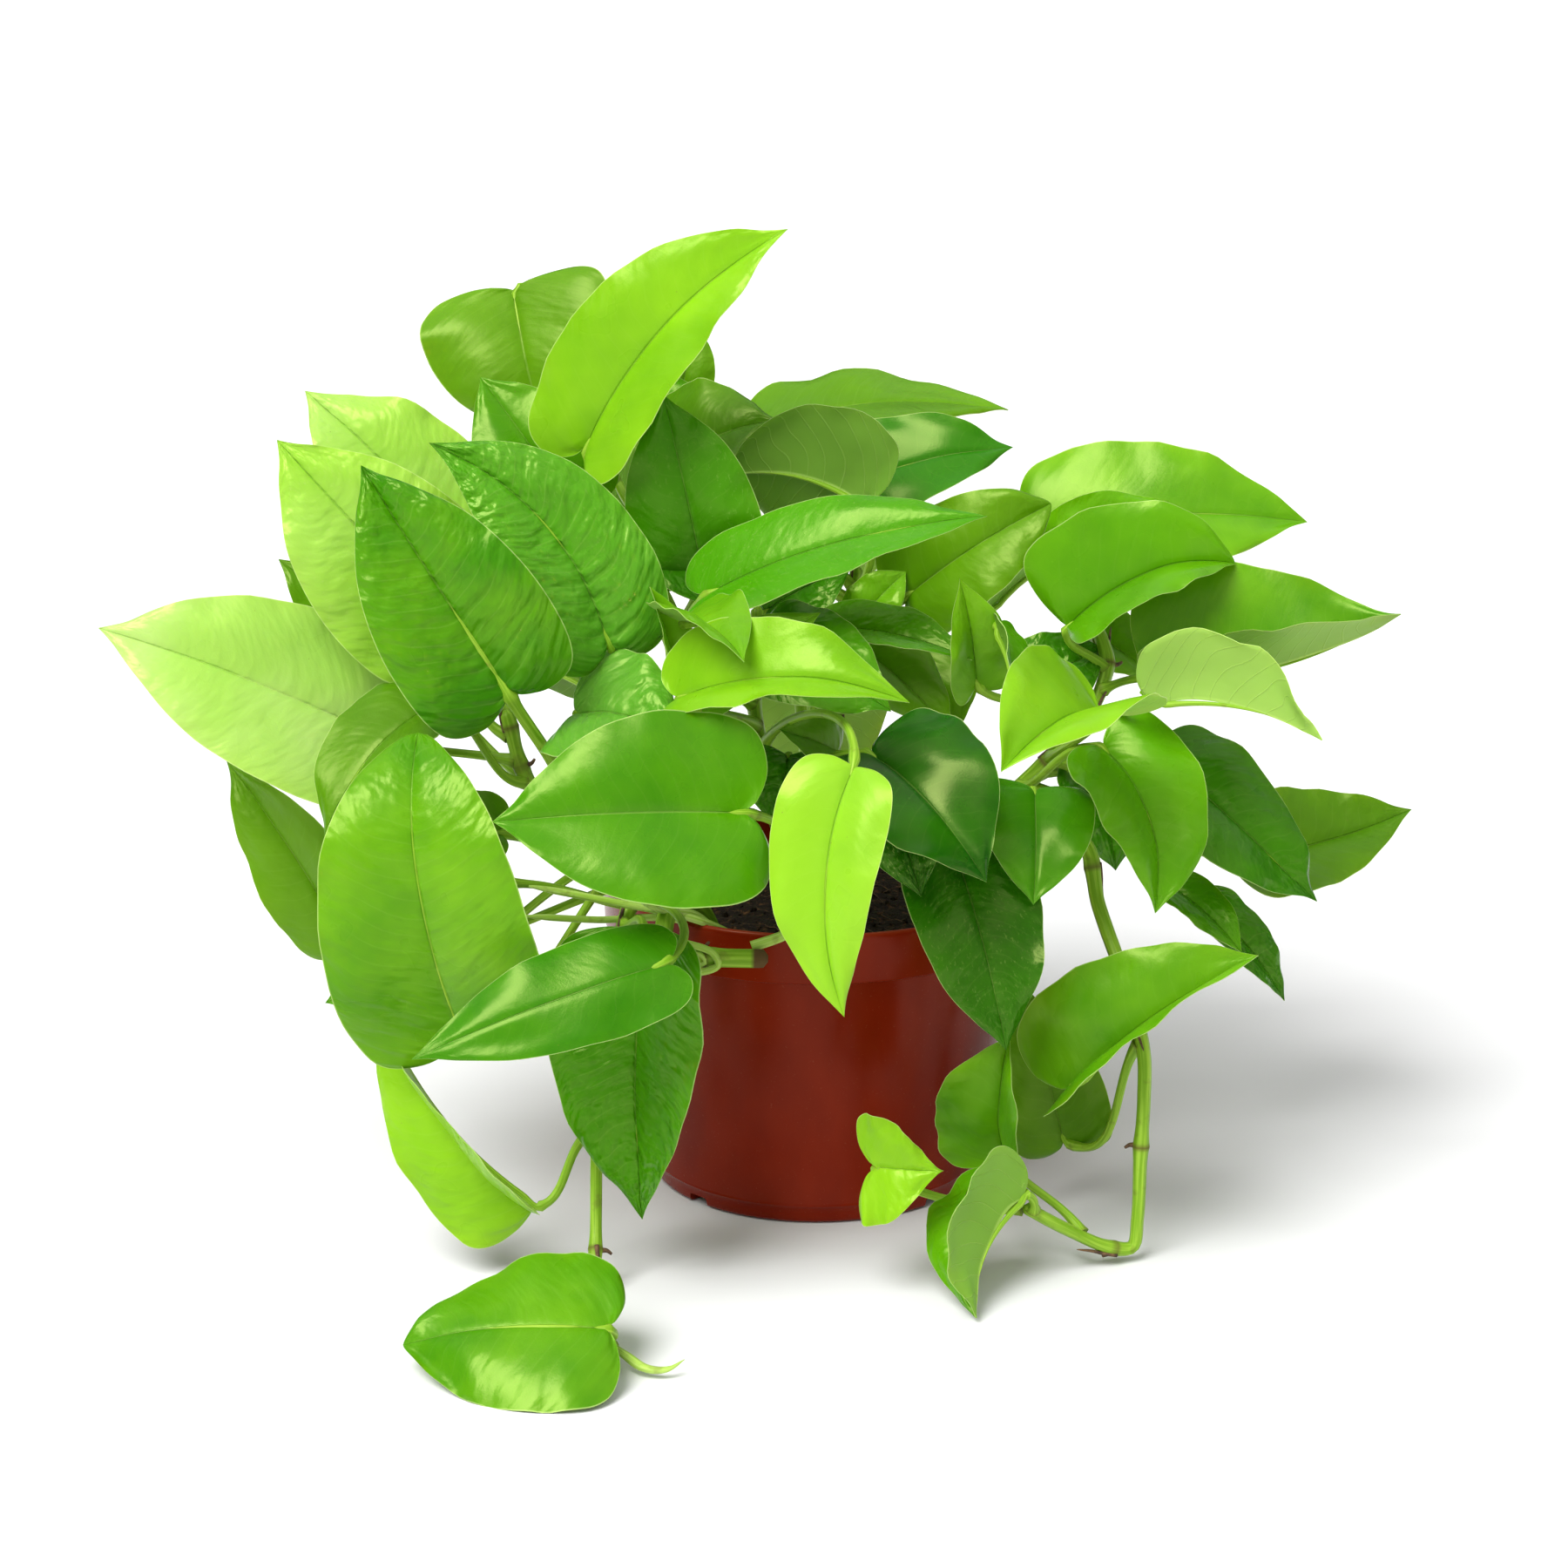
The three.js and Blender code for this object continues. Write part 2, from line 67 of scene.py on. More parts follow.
class Value:
    """A number socket of a shader graph that takes part in Python expressions."""

    def __init__(self, graph: "Graph", socket: Socket) -> None:
        """Wraps one output socket of the graph."""
        self.graph = graph
        self.socket = socket

    def _with(self, operation: str, *others: Number) -> "Value":
        """Adds one Math node.

        Args:
            operation: the Math node's operation.
            others: the values of its sockets.

        Returns:
            The node's result.
        """
        node = self.graph.node("ShaderNodeMath", {"operation": operation}, dict(enumerate(others)))
        return Value(self.graph, node.outputs[0])

    def __add__(self, other: Number) -> "Value":
        """Sum."""
        return self._with("ADD", self, other)

    __radd__ = __add__

    def __sub__(self, other: Number) -> "Value":
        """Difference."""
        return self._with("SUBTRACT", self, other)

    def __rsub__(self, other: float) -> "Value":
        """Difference from a number."""
        return self._with("SUBTRACT", other, self)

    def __mul__(self, other: Number) -> "Value":
        """Product."""
        return self._with("MULTIPLY", self, other)

    __rmul__ = __mul__

    def of(self, operation: str, *others: Number) -> "Value":
        """Any other Math operation with this value first."""
        return self._with(operation, self, *others)

    def ramp(self, low: float, high: float) -> "Value":
        """A smooth step.

        Args:
            low: where the result is 0.
            high: where the result is 1.

        Returns:
            A value from 0 to 1.
        """
        node = self.graph.node(
            "ShaderNodeMapRange",
            {"interpolation_type": "SMOOTHSTEP"},
            {"Value": self, "From Min": low, "From Max": high, "To Min": 0.0, "To Max": 1.0},
        )
        return Value(self.graph, node.outputs["Result"])


class Graph:
    """A material's node graph, built in code."""

    MIX_SHARE, MIX_FIRST, MIX_SECOND, MIX_RESULT = 0, 6, 7, 2

    def __init__(self, name: str) -> None:
        """Starts a material of that name with an empty graph.

        Args:
            name: the material's name.
        """
        self.material = bpy.data.materials.new(name)
        self.material.use_nodes = True
        self.tree = self.material.node_tree
        self.tree.nodes.clear()

    def node(self, kind: str, settings: dict, inputs: dict) -> bpy.types.Node:
        """Adds any node.

        Args:
            kind: the node's type.
            settings: properties, set before the sockets.
            inputs: socket name or number to a value, a Value or an output socket.

        Returns:
            The node.
        """
        made = self.tree.nodes.new(kind)
        for key, value in settings.items():
            setattr(made, key, value)
        for key, value in inputs.items():
            if isinstance(value, Value):
                value = value.socket
            if isinstance(value, Socket):
                self.tree.links.new(value, made.inputs[key])
            else:
                made.inputs[key].default_value = value
        return made

    def uv(self, layer: str) -> tuple[Value, Value]:
        """The two coordinates of a UV map of the piece."""
        u, v, _ = self.parts(self.node("ShaderNodeUVMap", {"uv_map": layer}, {}).outputs[0])
        return u, v

    def place(self) -> Socket:
        """The point on the piece in its own coordinates."""
        return self.node("ShaderNodeTexCoord", {}, {}).outputs["Object"]

    def parts(self, vector: Socket) -> tuple[Value, ...]:
        """The three numbers of a vector."""
        node = self.node("ShaderNodeSeparateXYZ", {}, {0: vector})
        return tuple(Value(self, socket) for socket in node.outputs)

    def joined(self, x: Number, y: Number, z: Number) -> Socket:
        """A vector from three numbers."""
        return self.node("ShaderNodeCombineXYZ", {}, {0: x, 1: y, 2: z}).outputs[0]

    def noise(self, vector: Socket, scale: float, detail: float = 3.0, rough: float = 0.5) -> Value:
        """Cloudy noise.

        Args:
            vector: where it is read.
            scale: cells per unit.
            detail: octaves.
            rough: weight of the finer octaves.

        Returns:
            A value around one half.
        """
        inputs = {"Vector": vector, "Scale": scale, "Detail": detail, "Roughness": rough}
        return Value(self, self.node("ShaderNodeTexNoise", {}, inputs).outputs[0])

    def cells(self, vector: Socket, scale: float) -> Value:
        """Distance to the nearest of scattered points."""
        node = self.node("ShaderNodeTexVoronoi", {}, {"Vector": vector, "Scale": scale})
        return Value(self, node.outputs["Distance"])

    def mix(self, share: Number, first: Colour, second: Colour) -> Socket:
        """A blend of two colours.

        Args:
            share: 0 for the first and 1 for the second.
            first: a colour or a socket.
            second: a colour or a socket.

        Returns:
            The blended colour.
        """
        inputs = {self.MIX_SHARE: share, self.MIX_FIRST: first, self.MIX_SECOND: second}
        for key in (self.MIX_FIRST, self.MIX_SECOND):
            if not isinstance(inputs[key], Socket):
                inputs[key] = (*inputs[key], 1.0)
        node = self.node("ShaderNodeMix", {"data_type": "RGBA"}, inputs)
        return node.outputs[self.MIX_RESULT]

    def bump(self, height: Value, strength: float) -> Socket:
        """A normal bent by a height in metres."""
        inputs = {"Height": height, "Distance": 1.0, "Strength": strength}
        return self.node("ShaderNodeBump", {}, inputs).outputs[0]

    def finish(self, inputs: dict) -> bpy.types.Material:
        """Ends the graph in a Principled shader.

        Args:
            inputs: its socket values and links.

        Returns:
            The material.
        """
        shader = self.node("ShaderNodeBsdfPrincipled", {}, inputs)
        self.node("ShaderNodeOutputMaterial", {}, {0: shader.outputs[0]})
        return self.material


# ---------------------------------------------------------------- finishes


@dataclass(frozen=True)
class LeafFinish:
    """How one kind of leaf is coloured.

    Args:
        name: the finish's name.
        light: colour of its lightest leaves.
        dark: colour of its darkest leaves.
        under: colour of the lower face.
        quilt: height of the cushions between the side veins, in millimetres.
        rough: roughness of the upper face.
    """

    name: str
    light: Triple
    dark: Triple
    under: Triple
    quilt: float
    rough: float

    VEIN = (0.50, 0.74, 0.16)
    # colour of a painted pale sheen that stands for a highlight
    PAINTED_SHEEN = (0.48, 0.66, 0.22)
    FLECK = (0.42, 0.58, 0.14)
    DOT = (0.48, 0.62, 0.20)
    FRECKLE = (0.16, 0.13, 0.03)
    MARGIN = (0.62, 0.80, 0.28)
    FLESH = {
        "Specular Tint": (0.88, 1.0, 0.32, 1.0),
        "Subsurface Weight": 0.2,
        "Subsurface Radius": (0.6, 1.0, 0.12),
        "Subsurface Scale": 0.003,
    }

    def _body(
        self, graph: Graph, tone: Value, cloud: Value, patchy: float, dark: Triple, light: Triple
    ) -> Socket:
        """The leaf's own colour: its tone made uneven by cloudy noise, as patchy says."""
        share = (tone + (cloud - 0.5) * patchy).of("MAXIMUM", 0.0).of("MINIMUM", 1.0)
        return graph.mix(share, dark, light)

    def _side_veins(self, phase: Value, width: float) -> Value:
        """1 on the side veins, falling to 0 a share of their spacing away."""
        return 1.0 - (phase * math.pi).of("SINE").of("ABSOLUTE").ramp(0.0, width)

    def upper_material(self) -> bpy.types.Material:
        """The glossy upper face: cloudy colour, a painted pale sheen standing for a highlight where tone is
        above 1, a fine midrib, cushions, flecks and a thin pale margin.

        Returns:
            The material.
        """
        graph = Graph(f"{self.name}_upper")
        place = graph.place()
        _, across = graph.uv("blade")
        phase, quilt = graph.uv("veins")
        tone, fleck_share = graph.uv("tone")
        side = (across - 0.5) * 2.0
        reach = side.of("ABSOLUTE")
        cloud = graph.noise(place, 22.0, 3.0, 0.6)
        colour = self._body(graph, tone, cloud, 1.1, self.dark, self.light)
        # painted sheen: above tone 1 the colour pales in patches, standing for a highlight
        painted_sheen = (tone - 1.0).of("MAXIMUM", 0.0) * (0.6 + 0.6 * graph.noise(place, 17.0, 2.0).ramp(0.38, 0.62))
        colour = graph.mix(painted_sheen, colour, self.PAINTED_SHEEN)
        side_vein = self._side_veins(phase, 0.22) * (1.0 - reach.ramp(0.5, 0.95))
        colour = graph.mix(side_vein * (0.02 + 0.05 * quilt), colour, self.VEIN)
        colour = graph.mix((1.0 - reach.ramp(0.004, 0.018)) * 0.14, colour, self.VEIN)
        along_veins = graph.joined(phase * 0.9, side * 4.0, graph.parts(place)[2] * 12.0)
        fleck = graph.noise(along_veins, 4.0, 4.0, 0.75)
        colour = graph.mix(fleck.ramp(0.57, 0.66) * fleck_share, colour, self.FLECK)
        patchy = graph.noise(place, 70.0, 2.0).ramp(0.45, 0.65)
        dot = (1.0 - graph.cells(place, 300.0).ramp(0.04, 0.12)) * patchy
        colour = graph.mix(dot * fleck_share * 0.7, colour, self.DOT)
        freckle = 1.0 - graph.cells(place, 95.0).ramp(0.012, 0.03)
        colour = graph.mix(freckle * 0.6, colour, self.FRECKLE)
        margin = reach.ramp(0.984, 0.999)
        colour = graph.mix(margin * 0.5, colour, self.MARGIN)
        pillow = graph.noise(graph.joined(phase * 1.05, side * 2.6, 0.0), 1.2, 1.5, 0.45)
        height = (pillow * 0.0030 + graph.noise(place, 120.0, 1.5) * 0.0012) * quilt
        height = height + graph.noise(place, 1500.0, 2.0) * 0.00004 - (1.0 - reach.ramp(0.0, 0.02)) * 0.0003
        return graph.finish({
            "Base Color": colour,
            "Roughness": self.rough + (graph.noise(place, 60.0, 2.0) - 0.5) * 0.2 + margin * 0.1,
            "Normal": graph.bump(height, 0.8),
            "Specular IOR Level": 0.46,
            **self.FLESH,
        })

    def under_material(self) -> bpy.types.Material:
        """The paler, duller lower face, where the veins stand out.

        Returns:
            The material.
        """
        graph = Graph(f"{self.name}_under")
        place = graph.place()
        _, across = graph.uv("blade")
        phase, _ = graph.uv("veins")
        tone, _ = graph.uv("tone")
        reach = ((across - 0.5) * 2.0).of("ABSOLUTE")
        cloud = graph.noise(place, 30.0, 2.0)
        deeper = tuple(0.6 * c for c in self.under)
        colour = self._body(graph, tone, cloud, 0.8, deeper, self.under)
        side_vein = self._side_veins(phase, 0.18)
        colour = graph.mix(side_vein * 0.15, colour, self.VEIN)
        colour = graph.mix((1.0 - reach.ramp(0.015, 0.045)) * 0.5, colour, self.VEIN)
        height = side_vein * 0.0003 + graph.noise(place, 260.0, 3.0) * 0.0001
        height = height + graph.noise(place, 60.0, 2.0) * 0.0012
        return graph.finish({
            "Base Color": colour,
            "Roughness": 0.48 + (cloud - 0.5) * 0.15,
            "Normal": graph.bump(height, 0.6),
            "Specular IOR Level": 0.3,
            **self.FLESH,
        })


class LeafKind(Enum):
    """The kinds of leaf on the plant."""

    LIME = LeafFinish(
        "leaf_lime", (0.235, 0.520, 0.008), (0.032, 0.190, 0.001), (0.31, 0.53, 0.09), 0.2, 0.30)
    GREEN = LeafFinish(
        "leaf_green", (0.112, 0.350, 0.001), (0.018, 0.150, 0.001), (0.20, 0.42, 0.045), 0.35, 0.28)
    DEEP = LeafFinish(
        "leaf_deep", (0.058, 0.270, 0.001), (0.005, 0.070, 0.001), (0.10, 0.24, 0.010), 0.8, 0.29)
    OLIVE = LeafFinish(
        "leaf_olive", (0.118, 0.300, 0.001), (0.042, 0.140, 0.001), (0.13, 0.27, 0.008), 0.2, 0.36)


@dataclass(frozen=True)
class StemFinish:
    """Smooth fleshy green skin with paler streaks and darker scars at the joints.

    Args:
        name: the finish's name.
        green: the skin's colour.
        pale: the streaks' colour.
        brown: the colour of scars, root stubs and dry ends.
    """

    name: str = "stem"
    green: Triple = (0.17, 0.36, 0.010)
    pale: Triple = (0.33, 0.55, 0.045)
    brown: Triple = (0.10, 0.055, 0.02)

    def material(self) -> bpy.types.Material:
        """Builds the skin; its UV map runs round the stem and along it, in millimetres.

        Returns:
            The material.
        """
        graph = Graph(self.name)
        place = graph.place()
        turn, along = graph.uv("stem")
        _, scar = graph.uv("scar")
        streak = graph.noise(graph.joined(turn * 9.0, along * 0.02, 0.0), 1.6, 3.0)
        colour = graph.mix(streak.ramp(0.35, 0.7), self.green, self.pale)
        blotch = graph.noise(place, 160.0, 3.0).ramp(0.58, 0.72)
        colour = graph.mix(blotch * 0.35, colour, self.brown)
        colour = graph.mix(scar, colour, self.brown)
        height = streak * 0.0003 + graph.noise(place, 700.0, 2.0) * 0.00006
        return graph.finish({
            "Base Color": colour,
            "Roughness": 0.42 + scar * 0.35,
            "Normal": graph.bump(height, 0.5),
            "Specular IOR Level": 0.35,
            "Specular Tint": (1.0, 1.0, 0.5, 1.0),
            "Subsurface Weight": 0.12,
            "Subsurface Radius": (0.6, 1.0, 0.2),
            "Subsurface Scale": 0.002,
        })


@dataclass(frozen=True)
class BarkFinish:
    """Dry brown root stubs, scars and papery sheath scraps.

    Args:
        name: the finish's name.
        dark: the darker colour.
        light: the lighter colour.
    """

    name: str = "dry_bark"
    dark: Triple = (0.045, 0.022, 0.010)
    light: Triple = (0.19, 0.10, 0.04)

    def material(self) -> bpy.types.Material:
        """Builds the dry surface.

        Returns:
            The material.
        """
        graph = Graph(self.name)
        place = graph.place()
        grain = graph.noise(place, 420.0, 4.0, 0.7)
        return graph.finish({
            "Base Color": graph.mix(grain.ramp(0.35, 0.65), self.dark, self.light),
            "Roughness": 0.72 + (grain - 0.5) * 0.3,
            "Normal": graph.bump(grain * 0.0006, 0.7),
        })


@dataclass(frozen=True)
class PotFinish:
    """Thin moulded plastic, brick red, glossy, with flow streaks and a paler rim top, part wear and part
    painted highlight.

    Args:
        name: the finish's name.
        red: the wall's colour.
        dark: colour of the flow streaks.
        rim_wear_and_highlight: colour of the rim's top, scuffed and with a painted highlight where it catches
            the light.
    """

    name: str = "pot"
    red: Triple = (0.225, 0.014, 0.002)
    dark: Triple = (0.175, 0.009, 0.001)
    rim_wear_and_highlight: Triple = (0.36, 0.050, 0.015)

    DUST = (0.50, 0.42, 0.34)
    RIM_FROM, RIM_FULL = 0.1185, 0.1200

    def material(self) -> bpy.types.Material:
        """Builds the plastic from the piece's own coordinates.

        Returns:
            The material.
        """
        graph = Graph(self.name)
        place = graph.place()
        x, y, z = graph.parts(place)
        turn = y.of("ARCTAN2", x)
        flow = graph.noise(graph.joined(turn * 2.2, z * 14.0, 0.0), 1.3, 3.0, 0.5)
        colour = graph.mix(flow.ramp(0.3, 0.75), self.dark, self.red)
        rim = z.ramp(self.RIM_FROM, self.RIM_FULL)
        # the rim's top is paler: partly wear, partly a painted highlight
        colour = graph.mix(rim * 0.6, colour, self.rim_wear_and_highlight)
        dust = graph.noise(place, 900.0, 4.0, 0.7).ramp(0.62, 0.78)
        colour = graph.mix(dust * 0.05, colour, self.DUST)
        scratch = graph.noise(graph.joined(turn * 60.0, z * 18.0, x * 5.0), 2.2, 3.0, 0.8)
        height = flow * 0.0005 + scratch * 0.00002 + graph.noise(place, 2200.0, 2.0) * 0.000012
        return graph.finish({
            "Base Color": colour,
            "Roughness": 0.2 + flow * 0.08 + dust * 0.25 + (scratch - 0.5) * 0.06,
            "Normal": graph.bump(height, 0.4),
            "Specular IOR Level": 0.22,
            "Specular Tint": (1.0, 0.55, 0.4, 1.0),
        })


@dataclass(frozen=True)
class SoilFinish:
    """Damp peaty mix: dark crumbs with lighter bark and fibre.

    Args:
        name: the finish's name.
        dark: the peat's colour.
        light: colour of the lighter crumbs.
    """

    name: str = "soil"
    dark: Triple = (0.016, 0.008, 0.003)
    light: Triple = (0.20, 0.095, 0.035)

    def material(self) -> bpy.types.Material:
        """Builds the crumbly surface.

        Returns:
            The material.
        """
        graph = Graph(self.name)
        place = graph.place()
        crumb = graph.cells(place, 520.0)
        grain = graph.noise(place, 380.0, 5.0, 0.7)
        colour = graph.mix(grain.ramp(0.5, 0.72), self.dark, self.light)
        colour = graph.mix(crumb.ramp(0.25, 0.7) * 0.5, colour, self.dark)
        return graph.finish({
            "Base Color": colour,
            "Roughness": 0.86 + (grain - 0.5) * 0.2,
            "Normal": graph.bump(grain * 0.0016 + crumb * 0.0012, 0.9),
            "Specular IOR Level": 0.3,
        })


# ---------------------------------------------------------------- curves and meshes


def hermite(p1: Smooth, p2: Smooth, m1: Smooth, m2: Smooth, w: float) -> Smooth:
    """The cubic from p1 to p2 that leaves with slope m1 and arrives with slope m2, at a share w."""
    a, b = 2 * p1 - 2 * p2 + m1 + m2, -3 * p1 + 3 * p2 - 2 * m1 - m2
    return a * w**3 + b * w**2 + m1 * w + p1


class Course:
    """A smooth curve through points, walked by its length."""

    SAMPLES = 600

    def __init__(self, points: Sequence[Triple]) -> None:
        """Prepares the curve through the given points.

        Args:
            points: the points, in millimetres.
        """
        self.points = [Vector(p) for p in points]
        self.samples = [self._raw(i / self.SAMPLES) for i in range(self.SAMPLES + 1)]
        self.lengths = [0.0]
        for before, after in zip(self.samples, self.samples[1:]):
            self.lengths.append(self.lengths[-1] + (after - before).length)

    @property
    def length(self) -> float:
        """The curve's length in millimetres."""
        return self.lengths[-1]

    def _raw(self, t: float) -> Vector:
        """A point at a share t of the knots, by a centripetal Catmull-Rom spline.

        Args:
            t: 0 at the first knot to 1 at the last.

        Returns:
            The point.
        """
        pts = self.points
        place = (len(pts) - 1) * t
        i = min(int(place), len(pts) - 2)
        w = place - i
        p1, p2 = pts[i], pts[i + 1]
        p0 = pts[i - 1] if i > 0 else 2 * pts[0] - pts[1]
        p3 = pts[i + 2] if i + 2 < len(pts) else 2 * pts[-1] - pts[-2]
        d0, d1, d2 = (max((b - a).length, 1e-4) ** 0.5 for a, b in ((p0, p1), (p1, p2), (p2, p3)))
        m1 = ((p1 - p0) / d0 - (p2 - p0) / (d0 + d1) + (p2 - p1) / d1) * d1
        m2 = ((p2 - p1) / d1 - (p3 - p1) / (d1 + d2) + (p3 - p2) / d2) * d1
        return hermite(p1, p2, m1, m2, w)

    def at(self, share: float) -> tuple[Vector, Vector]:
        """A point and the direction there.

        Args:
            share: 0 at the start to 1 at the end, by length.

        Returns:
            The point and the unit direction.
        """
        want = min(max(share, 0.0), 1.0) * self.length
        low, high = 0, self.SAMPLES
        while high - low > 1:
            middle = (low + high) // 2
            if self.lengths[middle] <= want:
                low = middle
            else:
                high = middle
        step = self.lengths[high] - self.lengths[low]
        w = (want - self.lengths[low]) / step if step > 0 else 0.0
        point = self.samples[low].lerp(self.samples[high], w)
        a, b = max(low - 2, 0), min(high + 2, self.SAMPLES)
        return point, (self.samples[b] - self.samples[a]).normalized()


def on_plane(vector: Vector, normal: Vector) -> Vector:
    """The part of a vector that is square to a unit normal, made one long.

    Args:
        vector: the vector.
        normal: the unit normal.

    Returns:
        A unit vector.
    """
    flat = vector - normal * vector.dot(normal)
    if flat.length < 1e-6:
        flat = normal.orthogonal()
    return flat.normalized()


def finished(
    name: str,
    bm: bmesh.types.BMesh,
    materials: Sequence[bpy.types.Material],
    smooth: bool = True,
) -> bpy.types.Object:
    """Turns a bmesh in millimetres into an object in metres at the origin.

    Args:
        name: the object's name.
        bm: the shape, freed here.
        materials: its material slots in order.
        smooth: whether its faces are shaded smooth.

    Returns:
        The object, linked to the scene.
    """
    bmesh.ops.scale(bm, vec=(MM, MM, MM), verts=bm.verts)
    for face in bm.faces:
        face.smooth = smooth
    mesh = bpy.data.meshes.new(name)
    bm.to_mesh(mesh)
    bm.free()
    for material in materials:
        mesh.materials.append(material)
    made = bpy.data.objects.new(name, mesh)
    bpy.context.scene.collection.objects.link(made)
    return made


def sweep(
    bm: bmesh.types.BMesh,
    centre: Callable[[float], tuple[Vector, Vector]],
    radius: Callable[[float, float], float],
    rings: int,
    sides: int,
    length: float,
    scar: Callable[[float], float] = lambda t: 0.0,
    up: Optional[Vector] = None,
    material: int = 0,
) -> None:
    """Adds a closed tube: a grid rolled round a course, its first and last rings drawn to a point.

    Args:
        bm: the mesh that gets it.
        centre: point and direction at a share of the length.
        radius: radius at a share of the length and an angle round the tube.
        rings: rings along it.
        sides: sides round it.
        length: its length, for the UV map.
        scar: how brown it is at a share of the length.
        up: which way angle zero looks at the start.
        material: its material slot.
    """
    stem_uv = bm.loops.layers.uv.get("stem") or bm.loops.layers.uv.new("stem")
    scar_uv = bm.loops.layers.uv.get("scar") or bm.loops.layers.uv.new("scar")
    before = set(bm.faces)
    grid = bmesh.ops.create_grid(bm, x_segments=sides, y_segments=rings + 2, size=0.5)["verts"]
    frames = []
    lift = up or Vector((0.3, 0.2, 0.93))
    for k in range(rings + 1):
        point, direction = centre(k / rings)
        lift = on_plane(lift, direction)
        frames.append((point, direction, lift, direction.cross(lift)))
    place = {}
    for vert in grid:
        u, row = vert.co.x + 0.5, round((vert.co.y + 0.5) * (rings + 2)) - 1
        share = min(max(row, 0), rings) / rings
        point, _, lift, across = frames[round(share * rings)]
        angle = 2 * math.pi * u
        out = radius(share, angle % (2 * math.pi)) if 0 <= row <= rings else 0.0
        vert.co = point + (lift * math.cos(angle) + across * math.sin(angle)) * out
        place[vert] = (u, share)
    for face in set(bm.faces) - before:
        face.material_index = material
        for loop in face.loops:
            u, share = place[loop.vert]
            loop[stem_uv].uv = (u, share * length)
            loop[scar_uv].uv = (0.0, scar(share))
    bmesh.ops.remove_doubles(bm, verts=grid, dist=1e-4)
    bmesh.ops.recalc_face_normals(bm, faces=list(set(bm.faces) - before))


def ride(piece: bpy.types.Object, slot: str, *nodes: str) -> None:
    """Fastens a piece to the plant and hides the CAD nodes that it stands for.

    Args:
        piece: the piece.
        slot: not used.
        nodes: the nodes that it replaces, none for a loose extra.
    """
    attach(piece, "root")
    if nodes:
        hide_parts(*nodes)
    LOG.info("%s: %d faces", piece.name, len(piece.data.polygons))


# ---------------------------------------------------------------- leaves


@dataclass(frozen=True)
class LeafSpec:
    """Where one leaf grows and how it is bent, in millimetres and degrees.

    Args:
        name: its name.
        kind: its colouring.
        vine: the vine it grows on.
        at: place along that vine, 0 at the root to 1 at the tip.
        base: where the stalk meets the blade.
        tip: the blade's tip.
        face: the way the upper face looks.
        width: the blade's width.
        arch: bow of the midrib towards the face.
        fold: rise of the two halves from flat.
        sway: sideways bow of the midrib.
        full: above 1, a broader half towards the tip; below 1, a slimmer one.
        notch: depth of the notch at the base as a share of the usual.
        curl: how far the tip bends back from the face.
        stalk: the stalk's radius.
        tone: lightness within its kind, 0 to 1; above 1 a painted pale sheen, standing for a highlight, is
            mixed in.
        fleck: amount of pale flecks, 0 to 1.
        quilt: height of its cushions as a share of its kind's.
    """

    name: str
    kind: LeafKind
    vine: str
    at: float
    base: Triple
    tip: Triple
    face: Triple
    width: float
    arch: float = 0.0
    fold: float = 0.0
    sway: float = 0.0
    full: float = 1.0
    notch: float = 1.0
    curl: float = 0.0
    stalk: float = 1.6
    tone: float = 0.5
    fleck: float = 0.0
    quilt: float = 1.0


